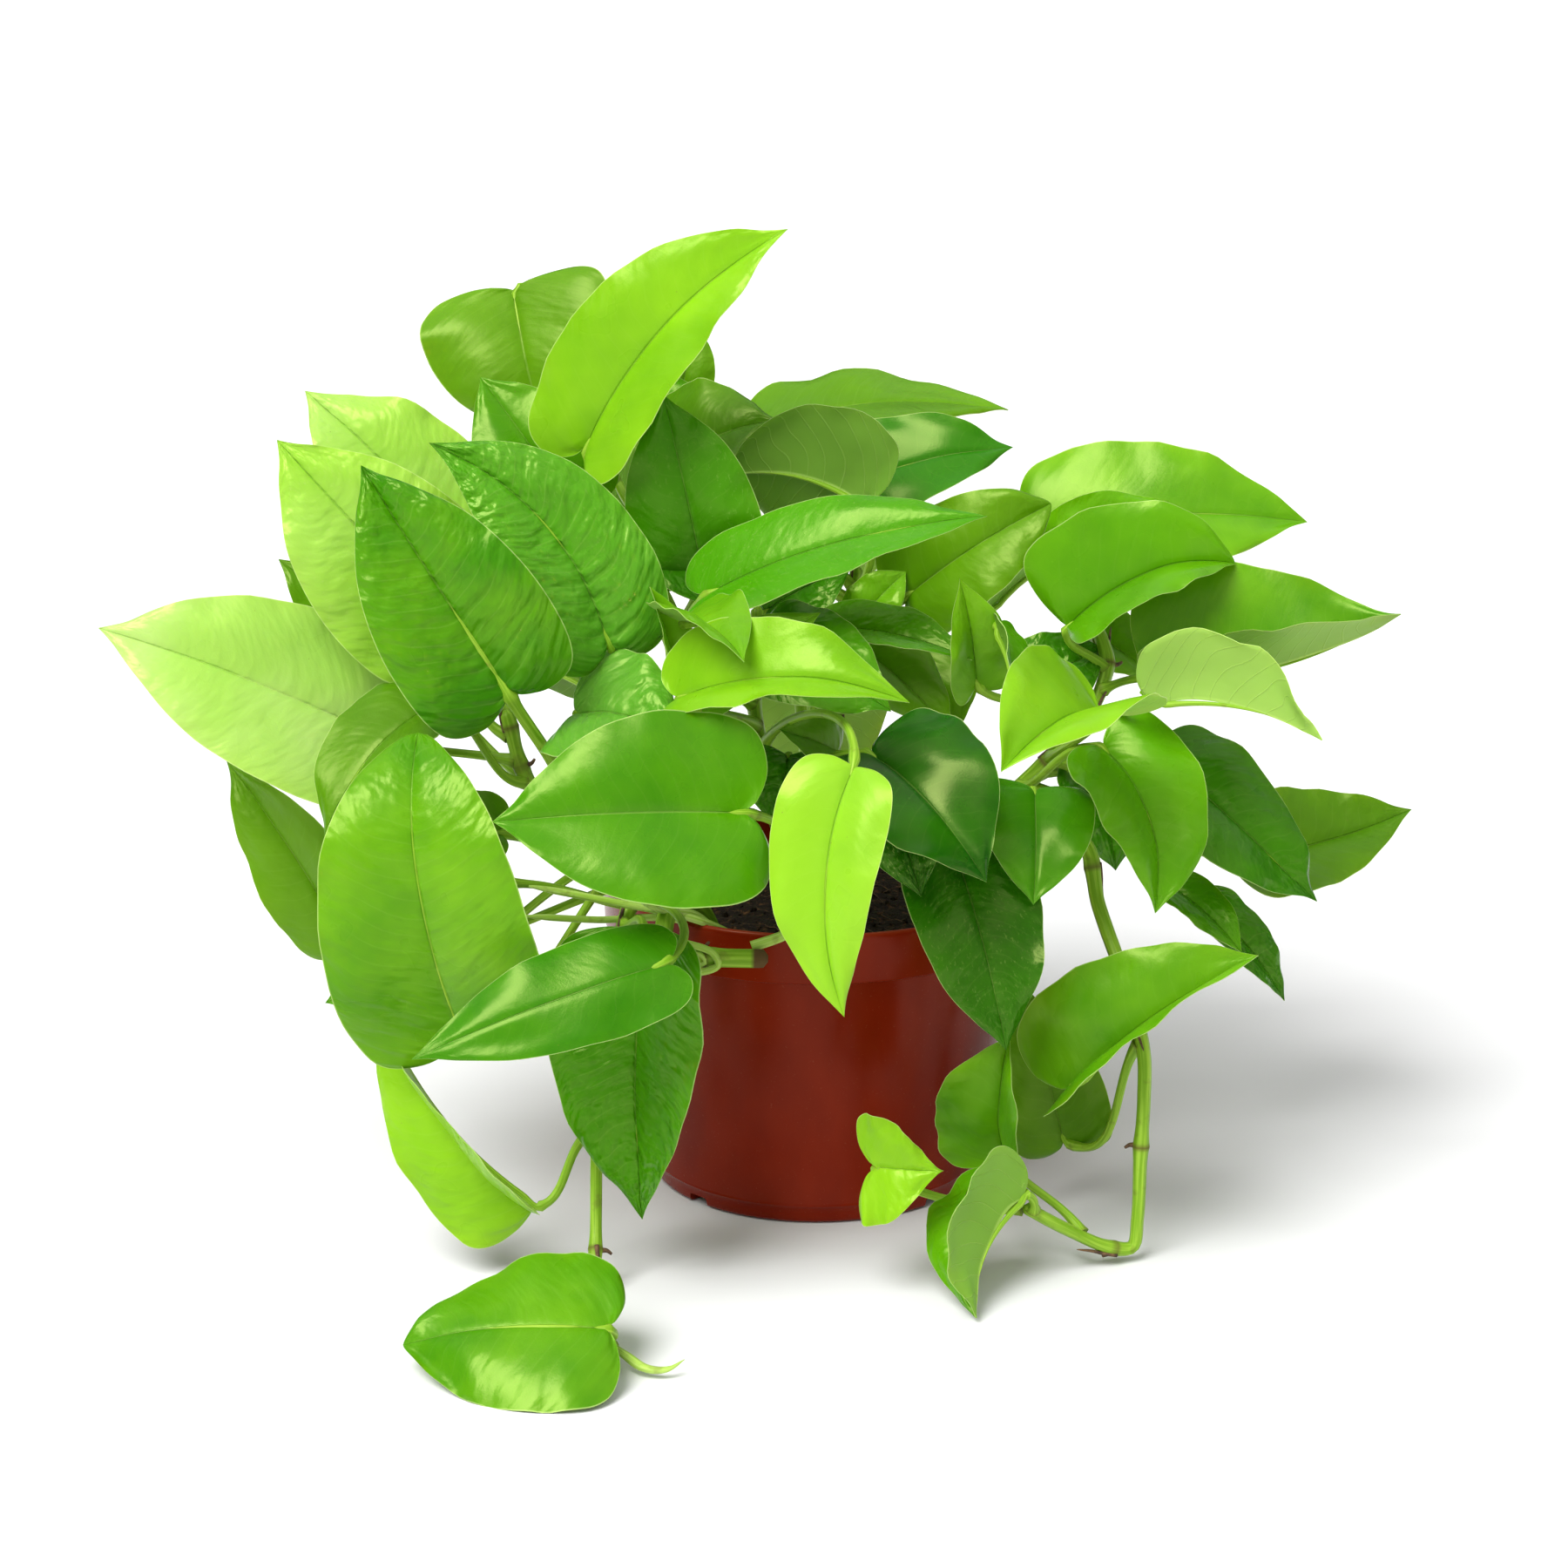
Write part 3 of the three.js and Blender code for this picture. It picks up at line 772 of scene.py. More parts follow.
class Blade:
    """The middle surface of a leaf blade."""

    SECTIONS = (
        (0.0, 0.0, 0.0), (0.015, -0.055, 0.12), (0.05, -0.09, 0.44), (0.12, -0.045, 0.80), (0.24, 0.09, 0.98),
        (0.42, 0.35, 0.99), (0.65, 0.62, 0.78), (0.83, 0.82, 0.41), (0.93, 0.93, 0.14), (1.0, 1.0, 0.0),
    )
    GROOVE, GROOVE_WIDTH = 0.35, 1.1
    VEIN_SPACING = 6.5
    LEAST_VEINS = 6.0
    VEIN_SHIFT = 0.27
    SLANT = 0.3
    CUP = 0.2
    WAVE = 3.2
    CURL_FROM, CURL_SPAN_SQUARED = 0.6, 0.16
    NOTCH_REACH = 0.4

    def __init__(self, spec: LeafSpec, seed: float) -> None:
        """Sets up the blade's axis and bends.

        Args:
            spec: the leaf.
            seed: a number that varies its waves.
        """
        self.spec = spec
        self.seed = seed
        self.base = Vector(spec.base)
        self.axis = Vector(spec.tip) - self.base
        self.length = self.axis.length
        self.half = spec.width / 2
        self.normal = on_plane(Vector(spec.face), self.axis.normalized())
        side = self.axis.normalized().cross(self.normal)
        self.bow = self.normal * 4 * spec.arch + side * 4 * spec.sway
        self.fold = math.radians(spec.fold)
        self.veins = max(self.LEAST_VEINS, round(self.length / self.VEIN_SPACING))
        self.cushion = spec.kind.value.quilt * spec.quilt

    def section(self, v: float) -> tuple[float, float, float]:
        """The blade's section at a share v of its rows: midrib place, margin place and half width.

        Args:
            v: 0 at the stalk to 1 at the tip.

        Returns:
            The midrib's place, the margin's place and the half width, as shares.
        """
        rows = self.SECTIONS
        place = v * (len(rows) - 1)
        i = min(int(place), len(rows) - 2)
        w = place - i
        p = [rows[max(i - 1, 0)], rows[i], rows[i + 1], rows[min(i + 2, len(rows) - 1)]]
        out = []
        for k in range(3):
            m1, m2 = (p[2][k] - p[0][k]) / 2, (p[3][k] - p[1][k]) / 2
            out.append(hermite(p[1][k], p[2][k], m1, m2, w))
        half = max(out[2], 0.0)
        if self.spec.full < 1:
            half *= 1 - (1 - self.spec.full) * out[0]
        elif out[0] > 0.3:
            half = half ** (1 / self.spec.full)
        notch = self.spec.notch + (1 - self.spec.notch) * min(out[0] / self.NOTCH_REACH, 1.0)
        return out[0], out[0] + (out[1] - out[0]) * notch, half

    def frame_at(self, t: float) -> tuple[Vector, Vector, Vector, Vector]:
        """The midrib point, its direction, the way the face looks there and the way across.

        Args:
            t: place along the blade, 0 to 1 and a little below.

        Returns:
            The point and three unit vectors.
        """
        along = max(t, 0.0)
        slope = self.axis + self.bow * (1 - 2 * along)
        centre = self.base + self.axis * along + self.bow * (along * (1 - along)) + slope * (t - along)
        tangent = slope.normalized()
        up = on_plane(self.normal, tangent)
        back = self.spec.curl * max(t - self.CURL_FROM, 0.0) ** 2 / self.CURL_SPAN_SQUARED
        return centre - up * back, tangent, up, tangent.cross(up)

    def point(self, v: float, h: float) -> tuple[Vector, float, float]:
        """A point of the surface.

        Args:
            v: share of the rows, 0 at the stalk to 1 at the tip.
            h: share across, -1 to 1.

        Returns:
            The point, its place along the blade and the phase of the side veins there.
        """
        midrib, margin, half = self.section(v)
        reach = abs(h)
        along = midrib + (margin - midrib) * reach
        centre, _, up, side = self.frame_at(along)
        out = half * self.half * reach
        flat = half * self.half
        lift = self.CUP * out * (1 - reach)
        slant = (self.SLANT * out + self.SLANT * out * reach) / self.length
        phase = self.veins * (along - slant) + (self.VEIN_SHIFT if h > 0 else 0.0) + self.seed
        phase += 0.5 * noise.noise(Vector((along * 4.0, h * 2.0, self.seed * 5.0)))
        fade = math.sin(math.pi * min(reach * 1.08, 1.0)) ** 0.5 if 0 < reach < 0.92 else 0.0
        body = min(1.0, flat / 8.0) * min(1.0, self.half / 28.0)
        lift += self.cushion * abs(math.sin(math.pi * phase)) ** 0.6 * fade * body
        lift -= self.GROOVE * math.exp(-((out / self.GROOVE_WIDTH) ** 2)) * min(1.0, flat / 8.0)
        swell = noise.noise(Vector((along * 3.2, h * 1.3, self.seed * 7.0)))
        lift += self.WAVE * swell * body * (0.35 + reach)
        wave = noise.noise(Vector((along * 7.0, math.copysign(1.0, h) * 3.0, self.seed * 11.0)))
        lift += self.WAVE * wave * reach**3 * body
        spread = math.copysign(out * math.cos(self.fold), h)
        return centre + side * spread + up * (out * math.sin(self.fold) + lift), along, phase


class Leaf:
    """One leaf: a thin waxy blade, and the stalk that runs on as its midrib underneath."""

    ROWS = 54
    COLUMNS = 30
    CROWDING = 1.35
    THICKNESS = 0.5
    STALK_STEPS = 12
    MIDRIB_STEPS, MIDRIB_REACH = 14, 0.76
    RINGS, SIDES = 58, 12
    SHARP = 60
    UPPER_SLOT, UNDER_SLOT, STALK_SLOT = 0, 1, 2

    def __init__(self, spec: LeafSpec, vine: Course, seed: float) -> None:
        """Takes the leaf's figures and its vine.

        Args:
            spec: the leaf.
            vine: the course of the vine it grows on.
            seed: a number that varies its waves.
        """
        self.spec = spec
        self.blade = Blade(spec, seed)
        self.vine = vine

    def _blade_mesh(self, bm: bmesh.types.BMesh) -> None:
        """Rolls a grid round the blade's section: the upper face, the margin, the lower face and back.

        Args:
            bm: the mesh that gets it.
        """
        blade_uv = bm.loops.layers.uv.new("blade")
        veins_uv = bm.loops.layers.uv.new("veins")
        tone_uv = bm.loops.layers.uv.new("tone")
        loop_count = 2 * self.COLUMNS + 2
        grid = bmesh.ops.create_grid(bm, x_segments=loop_count, y_segments=self.ROWS, size=0.5)["verts"]
        seen = {}
        for vert in grid:
            column = round((vert.co.x + 0.5) * loop_count) % loop_count
            lower = column > self.COLUMNS
            s = 2 * column / self.COLUMNS - 1
            if lower:
                s = 1 - 2 * (column - self.COLUMNS - 1) / self.COLUMNS
            h = math.copysign(abs(s) ** self.CROWDING, s)
            point, along, phase = self.blade.point(vert.co.y + 0.5, h)
            if lower:
                point = point - self.blade.frame_at(along)[2] * (self.THICKNESS * (1 - 0.5 * h**4))
            vert.co = point
            seen[vert] = (along, 0.5 + 0.5 * h, phase, lower)
        for face in bm.faces:
            below = sum(seen[v][3] for v in face.verts) > 2
            face.material_index = self.UNDER_SLOT if below else self.UPPER_SLOT
            for loop in face.loops:
                along, across, phase, _ = seen[loop.vert]
                loop[blade_uv].uv = (along, across)
                loop[veins_uv].uv = (phase, self.blade.cushion)
                loop[tone_uv].uv = (self.spec.tone, self.spec.fleck)
        bmesh.ops.remove_doubles(bm, verts=grid, dist=0.004)
        bmesh.ops.dissolve_degenerate(bm, edges=bm.edges, dist=0.001)
        bmesh.ops.recalc_face_normals(bm, faces=bm.faces)

    def _stalk_mesh(self, bm: bmesh.types.BMesh) -> None:
        """Sweeps the stalk from the vine to the blade and on under it as the midrib.

        Args:
            bm: the mesh that gets it.
        """
        spec = self.spec
        root, along = self.vine.at(spec.at)
        reach = Vector(spec.base) - root
        out = on_plane(reach, along)
        spring = (out + along * 0.5).normalized()
        start = root + out * (STEM_RADIUS * 0.55)
        _, tangent, up, _ = self.blade.frame_at(0.0)
        arrival = (reach.normalized() + tangent).normalized()
        end = Vector(spec.base) - arrival * 1.5
        pull = 0.35 * reach.length
        first, second = start + spring * pull, end - arrival * pull
        points = []
        for k in range(self.STALK_STEPS + 1):
            t = k / self.STALK_STEPS
            near, far = start * (1 - t) ** 3 + first * 3 * t * (1 - t) ** 2, second * 3 * t * t * (1 - t)
            points.append(near + far + end * t**3)
        for k in range(1, self.MIDRIB_STEPS + 1):
            t = self.MIDRIB_REACH * k / self.MIDRIB_STEPS
            centre, _, lift, _ = self.blade.frame_at(t)
            points.append(centre - lift * (1.25 * (1 - t / self.MIDRIB_REACH) + 0.65))
        course = Course(points)
        share = course.lengths[round(course.SAMPLES * self.STALK_STEPS / (len(points) - 1))] / course.length

        def radius(t: float, angle: float) -> float:
            """Clasping foot, even stalk, knuckle at the blade, then a tapering midrib.

            Args:
                t: share of its length, 0 to 1.
                angle: angle round the stalk.

            Returns:
                The radius.
            """
            if t < share:
                s = t / share
                foot = 1.5 * math.exp(-s * 11.0)
                knuckle = 0.35 * math.exp(-(((s - 0.97) / 0.05) ** 2))
                groove = 0.18 * math.exp(-((min(angle, 2 * math.pi - angle) / 0.5) ** 2))
                return spec.stalk * (1 + knuckle - groove) + foot
            return max(spec.stalk * 0.82 * (1 - (t - share) / (1 - share)) ** 0.8, 0.05)

        def scar(t: float) -> float:
            """Brown at the foot."""
            return max(0.0, 0.5 - t / share * 14)

        sweep(bm, course.at, radius, self.RINGS, self.SIDES, course.length, scar, up, self.STALK_SLOT)

    def build(self, finishes: Finishes, solid: bool) -> None:
        """Builds the leaf.

        Args:
            finishes: materials by name.
            solid: whether the frame has a solid for it.
        """
        bm = bmesh.new()
        self._blade_mesh(bm)
        self._stalk_mesh(bm)
        name = self.spec.kind.value.name
        materials = [finishes[f"{name}_upper"], finishes[f"{name}_under"], finishes["stem"]]
        made = finished(f"{self.spec.name}_leaf", bm, materials)
        made.data.set_sharp_from_angle(angle=math.radians(self.SHARP))
        nodes = [f"leaf_{self.spec.name}"] if solid else []
        ride(made, name, *nodes)


# ---------------------------------------------------------------- vines


class Vine:
    """A jointed green vine with scars, root stubs and dry sheath scraps at its joints."""

    SIDES = 20
    RING_GAP, LEAST_RINGS = 1.6, 40
    LONG, TAPER = 200, 0.22
    CUT_END = 5.0
    NO_JOINT = 99.0
    SCRAP = ((-1.0, 0.0, 0.1), (4.0, 0.2, 0.5), (9.0, 0.35, 0.35), (15.0, 0.45, 0.9))

    def __init__(self, name: str, course: Course, joints: Sequence[float], stout: float, seed: float) -> None:
        """Takes the vine's course.

        Args:
            name: the vine's name, without its node's prefix.
            course: where it runs.
            joints: places of its joints, 0 at the root to 1 at the tip.
            stout: its thickness as a share of the usual.
            seed: a number that varies it.
        """
        self.name = name
        self.course = course
        self.joints = joints
        self.stout = stout
        self.seed = seed

    def _near(self, share: float) -> float:
        """Distance in millimetres to the nearest joint."""
        gaps = [abs(share - joint) * self.course.length for joint in self.joints]
        return min(gaps, default=self.NO_JOINT)

    def _radius(self, share: float, angle: float) -> float:
        """Ribbed skin with a swelling and a ring at each joint, rounded at its end.

        Args:
            share: place along the vine.
            angle: angle round it.

        Returns:
            The radius.
        """
        near = self._near(share)
        swell = 0.55 * math.exp(-((near / 4.5) ** 2)) + 0.25 * math.exp(-((near / 0.9) ** 2))
        rib = 0.10 * math.cos(5 * angle + 2 * share) + 0.06 * math.cos(9 * angle + self.seed)
        uneven = 0.18 * noise.noise(Vector((share * self.course.length / 22, angle * 0.3, self.seed)))
        end = min(1.0, ((1 - share) * self.course.length / 2.0 + 0.12) ** 0.5)
        taper = 1 - self.TAPER * share if self.course.length > self.LONG else 1.0
        return (STEM_RADIUS * self.stout - 0.15 + swell + rib + uneven) * end * taper

    def build(self, finishes: Finishes) -> None:
        """Builds the vine and what grows at its joints.

        Args:
            finishes: materials by name.
        """
        bm = bmesh.new()
        length = self.course.length
        rings = max(self.LEAST_RINGS, int(length / self.RING_GAP))

        def scar(share: float) -> float:
            """Brown at the joints and at the cut or growing end.

            Args:
                share: place along the vine.

            Returns:
                How brown it is, 0 to 1.
            """
            ring = math.exp(-((self._near(share) / 1.1) ** 2))
            cut = 1.0 if self.name == "cut" and (1 - share) * length < self.CUT_END else 0.0
            return min(1.0, 0.85 * ring + cut)

        sweep(bm, self.course.at, self._radius, rings, self.SIDES, length, scar)
        made = finished(f"{self.name}_vine", bm, [finishes["stem"]])
        ride(made, "stem", f"stem_{self.name}")
        self._stubs(finishes)

    def _stubs(self, finishes: Finishes) -> None:
        """Adds a root stub and a scrap of dry sheath beside each joint.

        Args:
            finishes: materials by name.
        """
        bm = bmesh.new()
        for k, joint in enumerate(self.joints):
            point, direction = self.course.at(joint)
            around = Quaternion(direction, 2.4 * k + self.seed) @ on_plane(Vector((0.2, -1, -0.3)), direction)
            tip = point + around * (STEM_RADIUS + 3.2) + direction * 1.2
            stub = Course([point + around * 1.6, point + around * (STEM_RADIUS + 1.4), tip])
            sweep(bm, stub.at, lambda t, a: 1.15 * (1 - 0.55 * t), 8, 8, stub.length)
            side = direction.cross(around)
            strip = Course([
                point + direction * along + side.lerp(around, turn) * (STEM_RADIUS + gap)
                for along, turn, gap in self.SCRAP
            ])
            sweep(bm, strip.at, lambda t, a: 0.75 * (1 - t) ** 0.5 + 0.12, 16, 6, strip.length)
        ride(finished(f"{self.name}_root_stubs", bm, [finishes["dry_bark"]]), "stem")


class Shoot:
    """A slim pale growth: a rolled leaf that has not opened, or an old leaf stalk curled on itself."""

    SIDES = 16
    RING_GAP, LEAST_RINGS = 1.2, 30
    LEAST_RADIUS = 0.12
    SPIRAL = 1.3

    def __init__(self, name: str, points: Sequence[Triple], radius: float, rolled: bool = False) -> None:
        """Takes its course and its size.

        Args:
            name: its name.
            points: where it runs.
            radius: its greatest radius.
            rolled: whether it is a rolled leaf, fat in the middle with a spiral edge.
        """
        self.name = name
        self.course = Course(points)
        self.radius = radius
        self.rolled = rolled

    def _radius(self, t: float, angle: float) -> float:
        """A spindle with a step where the blade's edge wraps over, or an even stalk with a soft end.

        Args:
            t: share of its length, 0 to 1.
            angle: angle round it.

        Returns:
            The radius.
        """
        if self.rolled:
            spindle = math.sin(math.pi * min(1.0, 0.12 + 0.88 * t)) ** 0.7 * (1 - 0.35 * t)
            wrap = (angle / (2 * math.pi) + self.SPIRAL * t) % 1.0
            return max(self.radius * spindle * (0.85 + 0.22 * wrap), self.LEAST_RADIUS)
        end = min(1.0, ((1 - t) * 9 + 0.1) ** 0.5)
        return self.radius * end * (1 - 0.2 * t + 0.05 * math.cos(3 * angle))

    def build(self, finishes: Finishes) -> None:
        """Builds the growth.

        Args:
            finishes: materials by name.
        """
        bm = bmesh.new()
        rings = max(self.LEAST_RINGS, int(self.course.length / self.RING_GAP))
        sweep(bm, self.course.at, self._radius, rings, self.SIDES, self.course.length)
        ride(finished(self.name, bm, [finishes["shoot"]]), "stem")


# ---------------------------------------------------------------- pot and soil


@dataclass
class Pot:
    """A tapered nursery pot with a plain band, a fine ridge near its foot and drain notches.

    Args:
        height: from the surface to the rim.
        foot: radius at the base.
        rim: radius at the rim.
        band: depth of the rim's band.
        step: how far the band stands proud.
        wall: thickness.
        notches: number of drain notches.
    """

    height: float = 120.0
    foot: float = 63.5
    rim: float = 82.0
    band: float = 19.5
    step: float = 1.6
    wall: float = 1.8
    notches: int = 4

    STEPS = 144
    NOTCH, NOTCH_ROUND = (12, 9, 7), 1.2
    SHARP = 38

    def wall_radius(self, z: float) -> float:
        """Outer radius of the wall at a height."""
        return self.foot + (self.rim - self.step - self.foot) * z / self.height

    def profile(self) -> list[tuple[float, float]]:
        """The outline that is turned: up the outside, over the rim and down the inside.

        Returns:
            Radius and height of each point.
        """
        top, low = self.height, self.height - self.band
        r, rim, wall = self.wall_radius, self.rim, self.wall
        outer = [
            (0, 0), (48, 0), (50, 0.5), (54, 0.5), (56, 0), (self.foot - 1.6, 0), (self.foot - 0.6, 0.25),
            (r(0.7) - 0.15, 0.7), (r(1.4), 1.4), (r(4), 4), (r(6.1), 6.1), (r(6.5) + 0.25, 6.5),
            (r(7) + 0.45, 7.0), (r(7.5) + 0.25, 7.5), (r(7.9), 7.9), (r(30), 30), (r(60), 60), (r(85), 85),
            (r(low - 1.2), low - 1.2), (r(low - 0.4) + 0.1, low - 0.4), (r(low) + 0.5, low),
            (rim - 1.3, low + 0.15), (rim - 0.75, low + 0.6), (rim - 0.6, low + 1.4),
            (rim - 0.1, top - 2.4), (rim, top - 1.4), (rim - 0.2, top - 0.7), (rim - 0.65, top - 0.2),
            (rim - 1.2, top),
        ]
        inner = [
            (rim - 1.8, top - 0.15), (rim - 2.25, top - 0.7), (rim - 2.45, top - 1.6), (rim - 2.6, low + 2.5),
            (rim - 3.6, low + 0.8), (r(low) - wall, low - 0.4), (r(60) - wall, 60), (r(3) - wall, 3.0),
            (r(2.4) - wall - 0.8, 2.4), (30, 2.4), (0, 2.4),
        ]
        return outer + inner

    def build(self, finishes: Finishes) -> None:
        """Turns the outline and cuts the notches.

        Args:
            finishes: materials by name.
        """
        bm = bmesh.new()
        verts = [bm.verts.new((radius, 0.0, z)) for radius, z in self.profile()]
        edges = [bm.edges.new(pair) for pair in zip(verts, verts[1:])]
        bmesh.ops.spin(
            bm, geom=verts + edges, cent=(0, 0, 0), axis=(0, 0, 1), angle=2 * math.pi, steps=self.STEPS,
            use_merge=True)
        bmesh.ops.remove_doubles(bm, verts=bm.verts, dist=1e-3)
        bmesh.ops.recalc_face_normals(bm, faces=bm.faces)
        body = finished("pot_shell", bm, [finishes["pot"]])
        self._cut_notches(body)
        body.data.set_sharp_from_angle(angle=math.radians(self.SHARP))
        ride(body, "pot", "pot")

    def _cut_notches(self, body: bpy.types.Object) -> None:
        """Cuts the drain notches through the foot, spaced evenly round it.

        Args:
            body: the turned shell, changed here.
        """
        cutter = bmesh.new()
        for k in range(self.notches):
            turn = 2 * math.pi * (k + 0.5) / self.notches
            block = bmesh.ops.create_cube(cutter, size=1.0)["verts"]
            bmesh.ops.scale(cutter, vec=self.NOTCH, verts=block)
            bmesh.ops.translate(cutter, vec=(self.foot - 2, 0, 0), verts=block)
            bmesh.ops.rotate(cutter, cent=(0, 0, 0), matrix=Matrix.Rotation(turn, 3, "Z"), verts=block)
        bmesh.ops.bevel(
            cutter, geom=cutter.edges, offset=self.NOTCH_ROUND, offset_type="OFFSET", affect="EDGES",
            segments=3, profile=0.5, material=-1)
        tool = finished("notch_cutter", cutter, [])
        cut = body.modifiers.new("notches", "BOOLEAN")
        cut.operation, cut.solver, cut.object = "DIFFERENCE", "EXACT", tool
        view = bpy.context.evaluated_depsgraph_get()
        mesh = bpy.data.meshes.new_from_object(body.evaluated_get(view))
        body.modifiers.clear()
        body.data = mesh
        bpy.data.objects.remove(tool)
        for face in mesh.polygons:
            face.use_smooth = True


@dataclass
class Soil:
    """Potting mix: a heaped crumbly bed with loose crumbs and fibres on top.

    Args:
        radius: radius at its edge.
        edge: height at its edge.
        heap: how far the middle rises above the edge.
        crumbs: number of loose crumbs.
        fibres: number of fibres.
    """

    radius: float = 76.0
    edge: float = 103.0
    heap: float = 4.0
    crumbs: int = 420
    fibres: int = 90

    SEED = 11
    RINGS, TURNS = 64, 160
    SKIRT_FROM, SKIRT_FOOT = 0.985, 84.0
    EDGE_GAP = 1.5

    def surface(self, x: float, y: float) -> float:
        """Height of the bed at a point.

        Args:
            x: place across.
            y: place in depth.

        Returns:
            The height.
        """
        r = min(math.hypot(x, y) / self.radius, 1.0)
        swell = self.edge + self.heap * (1 - r * r)
        lumps = 1.6 * noise.noise(Vector((x / 9, y / 9, 3.1)))
        lumps += noise.noise(Vector((x / 3.2, y / 3.2, 8.7)))
        return swell + lumps * (1 - r**8)

    def spot(self, rng: random.Random) -> Triple:
        """A scattered place on the bed and a turn."""
        a, r = rng.random() * 2 * math.pi, rng.random() ** 0.5 * (self.radius - 3)
        return r * math.cos(a), r * math.sin(a), rng.random() * 2 * math.pi

    def build(self, finishes: Finishes) -> None:
        """Builds the bed and what lies on it.

        Args:
            finishes: materials by name.
        """
        rng = random.Random(self.SEED)
        ride(finished("soil_bed", self._bed(), [finishes["soil"]]), "soil", "soil")
        ride(finished("soil_crumbs", self._crumbs(rng), [finishes["soil"]], smooth=False), "soil")
        ride(finished("soil_fibres", self._fibres(rng), [finishes["dry_bark"]]), "soil")

    def _bed(self) -> bmesh.types.BMesh:
        """The heaped bed with a skirt down the wall of the pot, closed underneath.

        Returns:
            The mesh.
        """
        bm = bmesh.new()
        grid = bmesh.ops.create_grid(bm, x_segments=self.TURNS, y_segments=self.RINGS, size=0.5)["verts"]
        for vert in grid:
            angle, share = 2 * math.pi * (vert.co.x + 0.5), vert.co.y + 0.5
            cos, sin = math.cos(angle), math.sin(angle)
            if share > self.SKIRT_FROM:
                vert.co = Vector((cos * self.radius * 0.98, sin * self.radius * 0.98, self.SKIRT_FOOT))
            else:
                r = self.radius * share / self.SKIRT_FROM
                vert.co = Vector((r * cos, r * sin, self.surface(r * cos, r * sin)))
        bmesh.ops.remove_doubles(bm, verts=grid, dist=1e-3)
        rim = [edge for edge in bm.edges if edge.is_boundary]
        bmesh.ops.holes_fill(bm, edges=rim, sides=0)
        bmesh.ops.recalc_face_normals(bm, faces=bm.faces)
        return bm

    def _crumbs(self, rng: random.Random) -> bmesh.types.BMesh:
        """Loose lumps, each one tumbled its own way.

        Args:
            rng: the random source.

        Returns:
            The mesh.
        """
        bm = bmesh.new()
        for k in range(self.crumbs):
            x, y, turn = self.spot(rng)
            size = 0.5 + 1.5 * rng.random() ** 2
            made = bmesh.ops.create_icosphere(bm, subdivisions=1, radius=size)["verts"]
            bmesh.ops.scale(bm, vec=(1.0, 0.75, 0.6), verts=made)
            for vert in made:
                vert.co *= 1 + 0.35 * noise.noise(vert.co * 1.7 + Vector((k, 0, 0)))
            tumble = Euler((turn, turn * 2, turn)).to_matrix().to_4x4()
            matrix = Matrix.Translation((x, y, self.surface(x, y) + 0.2 * size)) @ tumble
            bmesh.ops.transform(bm, matrix=matrix, verts=made)
        return bm

    def _fibres(self, rng: random.Random) -> bmesh.types.BMesh:
        """Thin bent fibres that lie on the bed.

        Args:
            rng: the random source.

        Returns:
            The mesh.
        """
        bm = bmesh.new()
        for k in range(self.fibres):
            x, y, turn = self.spot(rng)
            length = 6 + 12 * rng.random()
            points = []
            for j in range(4):
                px = x + (j / 3 - 0.5) * length * math.cos(turn) + 1.2 * noise.noise(Vector((k, j, 0.3)))
                py = y + (j / 3 - 0.5) * length * math.sin(turn) + 1.2 * noise.noise(Vector((k, j, 5.3)))
                if math.hypot(px, py) > self.radius - self.EDGE_GAP:
                    px, py = x * 0.97, y * 0.97 + j * 0.3
                points.append((px, py, self.surface(px, py) + 0.5 + 0.9 * (j % 2)))
            course = Course(points)
            sweep(bm, course.at, lambda t, a: 0.22, 12, 5, course.length)
        return bm


# ---------------------------------------------------------------- the plant's figures


LIME, GREEN, DEEP, OLIVE = LeafKind

VINES = {
    "left": [(-46, -16, 94), (-54, -26, 120), (-80, -46, 146), (-105, -52, 168), (-114, -50, 196)],
    "crest": [(-26, 8, 94), (-32, 8, 140), (-50, 6, 190), (-62, 8, 232), (-66, 12, 262)],
    "centre": [(-8, -22, 94), (-12, -28, 130), (-18, -34, 165), (-24, -30, 200), (-22, -20, 228)],
    "upper": [(6, 18, 94), (6, 26, 140), (10, 32, 190), (16, 34, 232)],
    "right": [(38, -12, 94), (50, -18, 130), (76, -24, 160), (98, -28, 184), (108, -20, 206), (102, -8, 224)],
    "back": [(0, 46, 94), (-2, 60, 135), (-6, 78, 180), (-2, 92, 216)],
    "left_trailing": [
        (-50, -34, 94), (-58, -50, 122), (-66, -66, 130), (-74, -84, 112), (-79, -98, 74),
        (-80, -108, 42), (-80, -120, 16), (-80, -136, 3.6), (-79, -150, 3), (-77, -166, 3), (-71, -182, 3.2),
    ],
    "right_trailing": [
        (46, -38, 94), (56, -50, 126), (74, -58, 144), (97, -56, 148), (103, -64, 126), (111, -80, 104),
        (118, -90, 80), (118.5, -94, 62), (117.5, -97, 40), (117, -98, 16), (115.5, -98.5, 5.5),
        (108, -101, 6), (90, -109, 17), (74, -117, 29),
    ],
    "cut": [
        (-34, -38, 94), (-43, -52, 120), (-50, -66, 127.5), (-55, -79, 126), (-55, -88, 120),
        (-48, -91.5, 116), (-37, -92, 115), (-18, -92, 114.5),
    ],
}

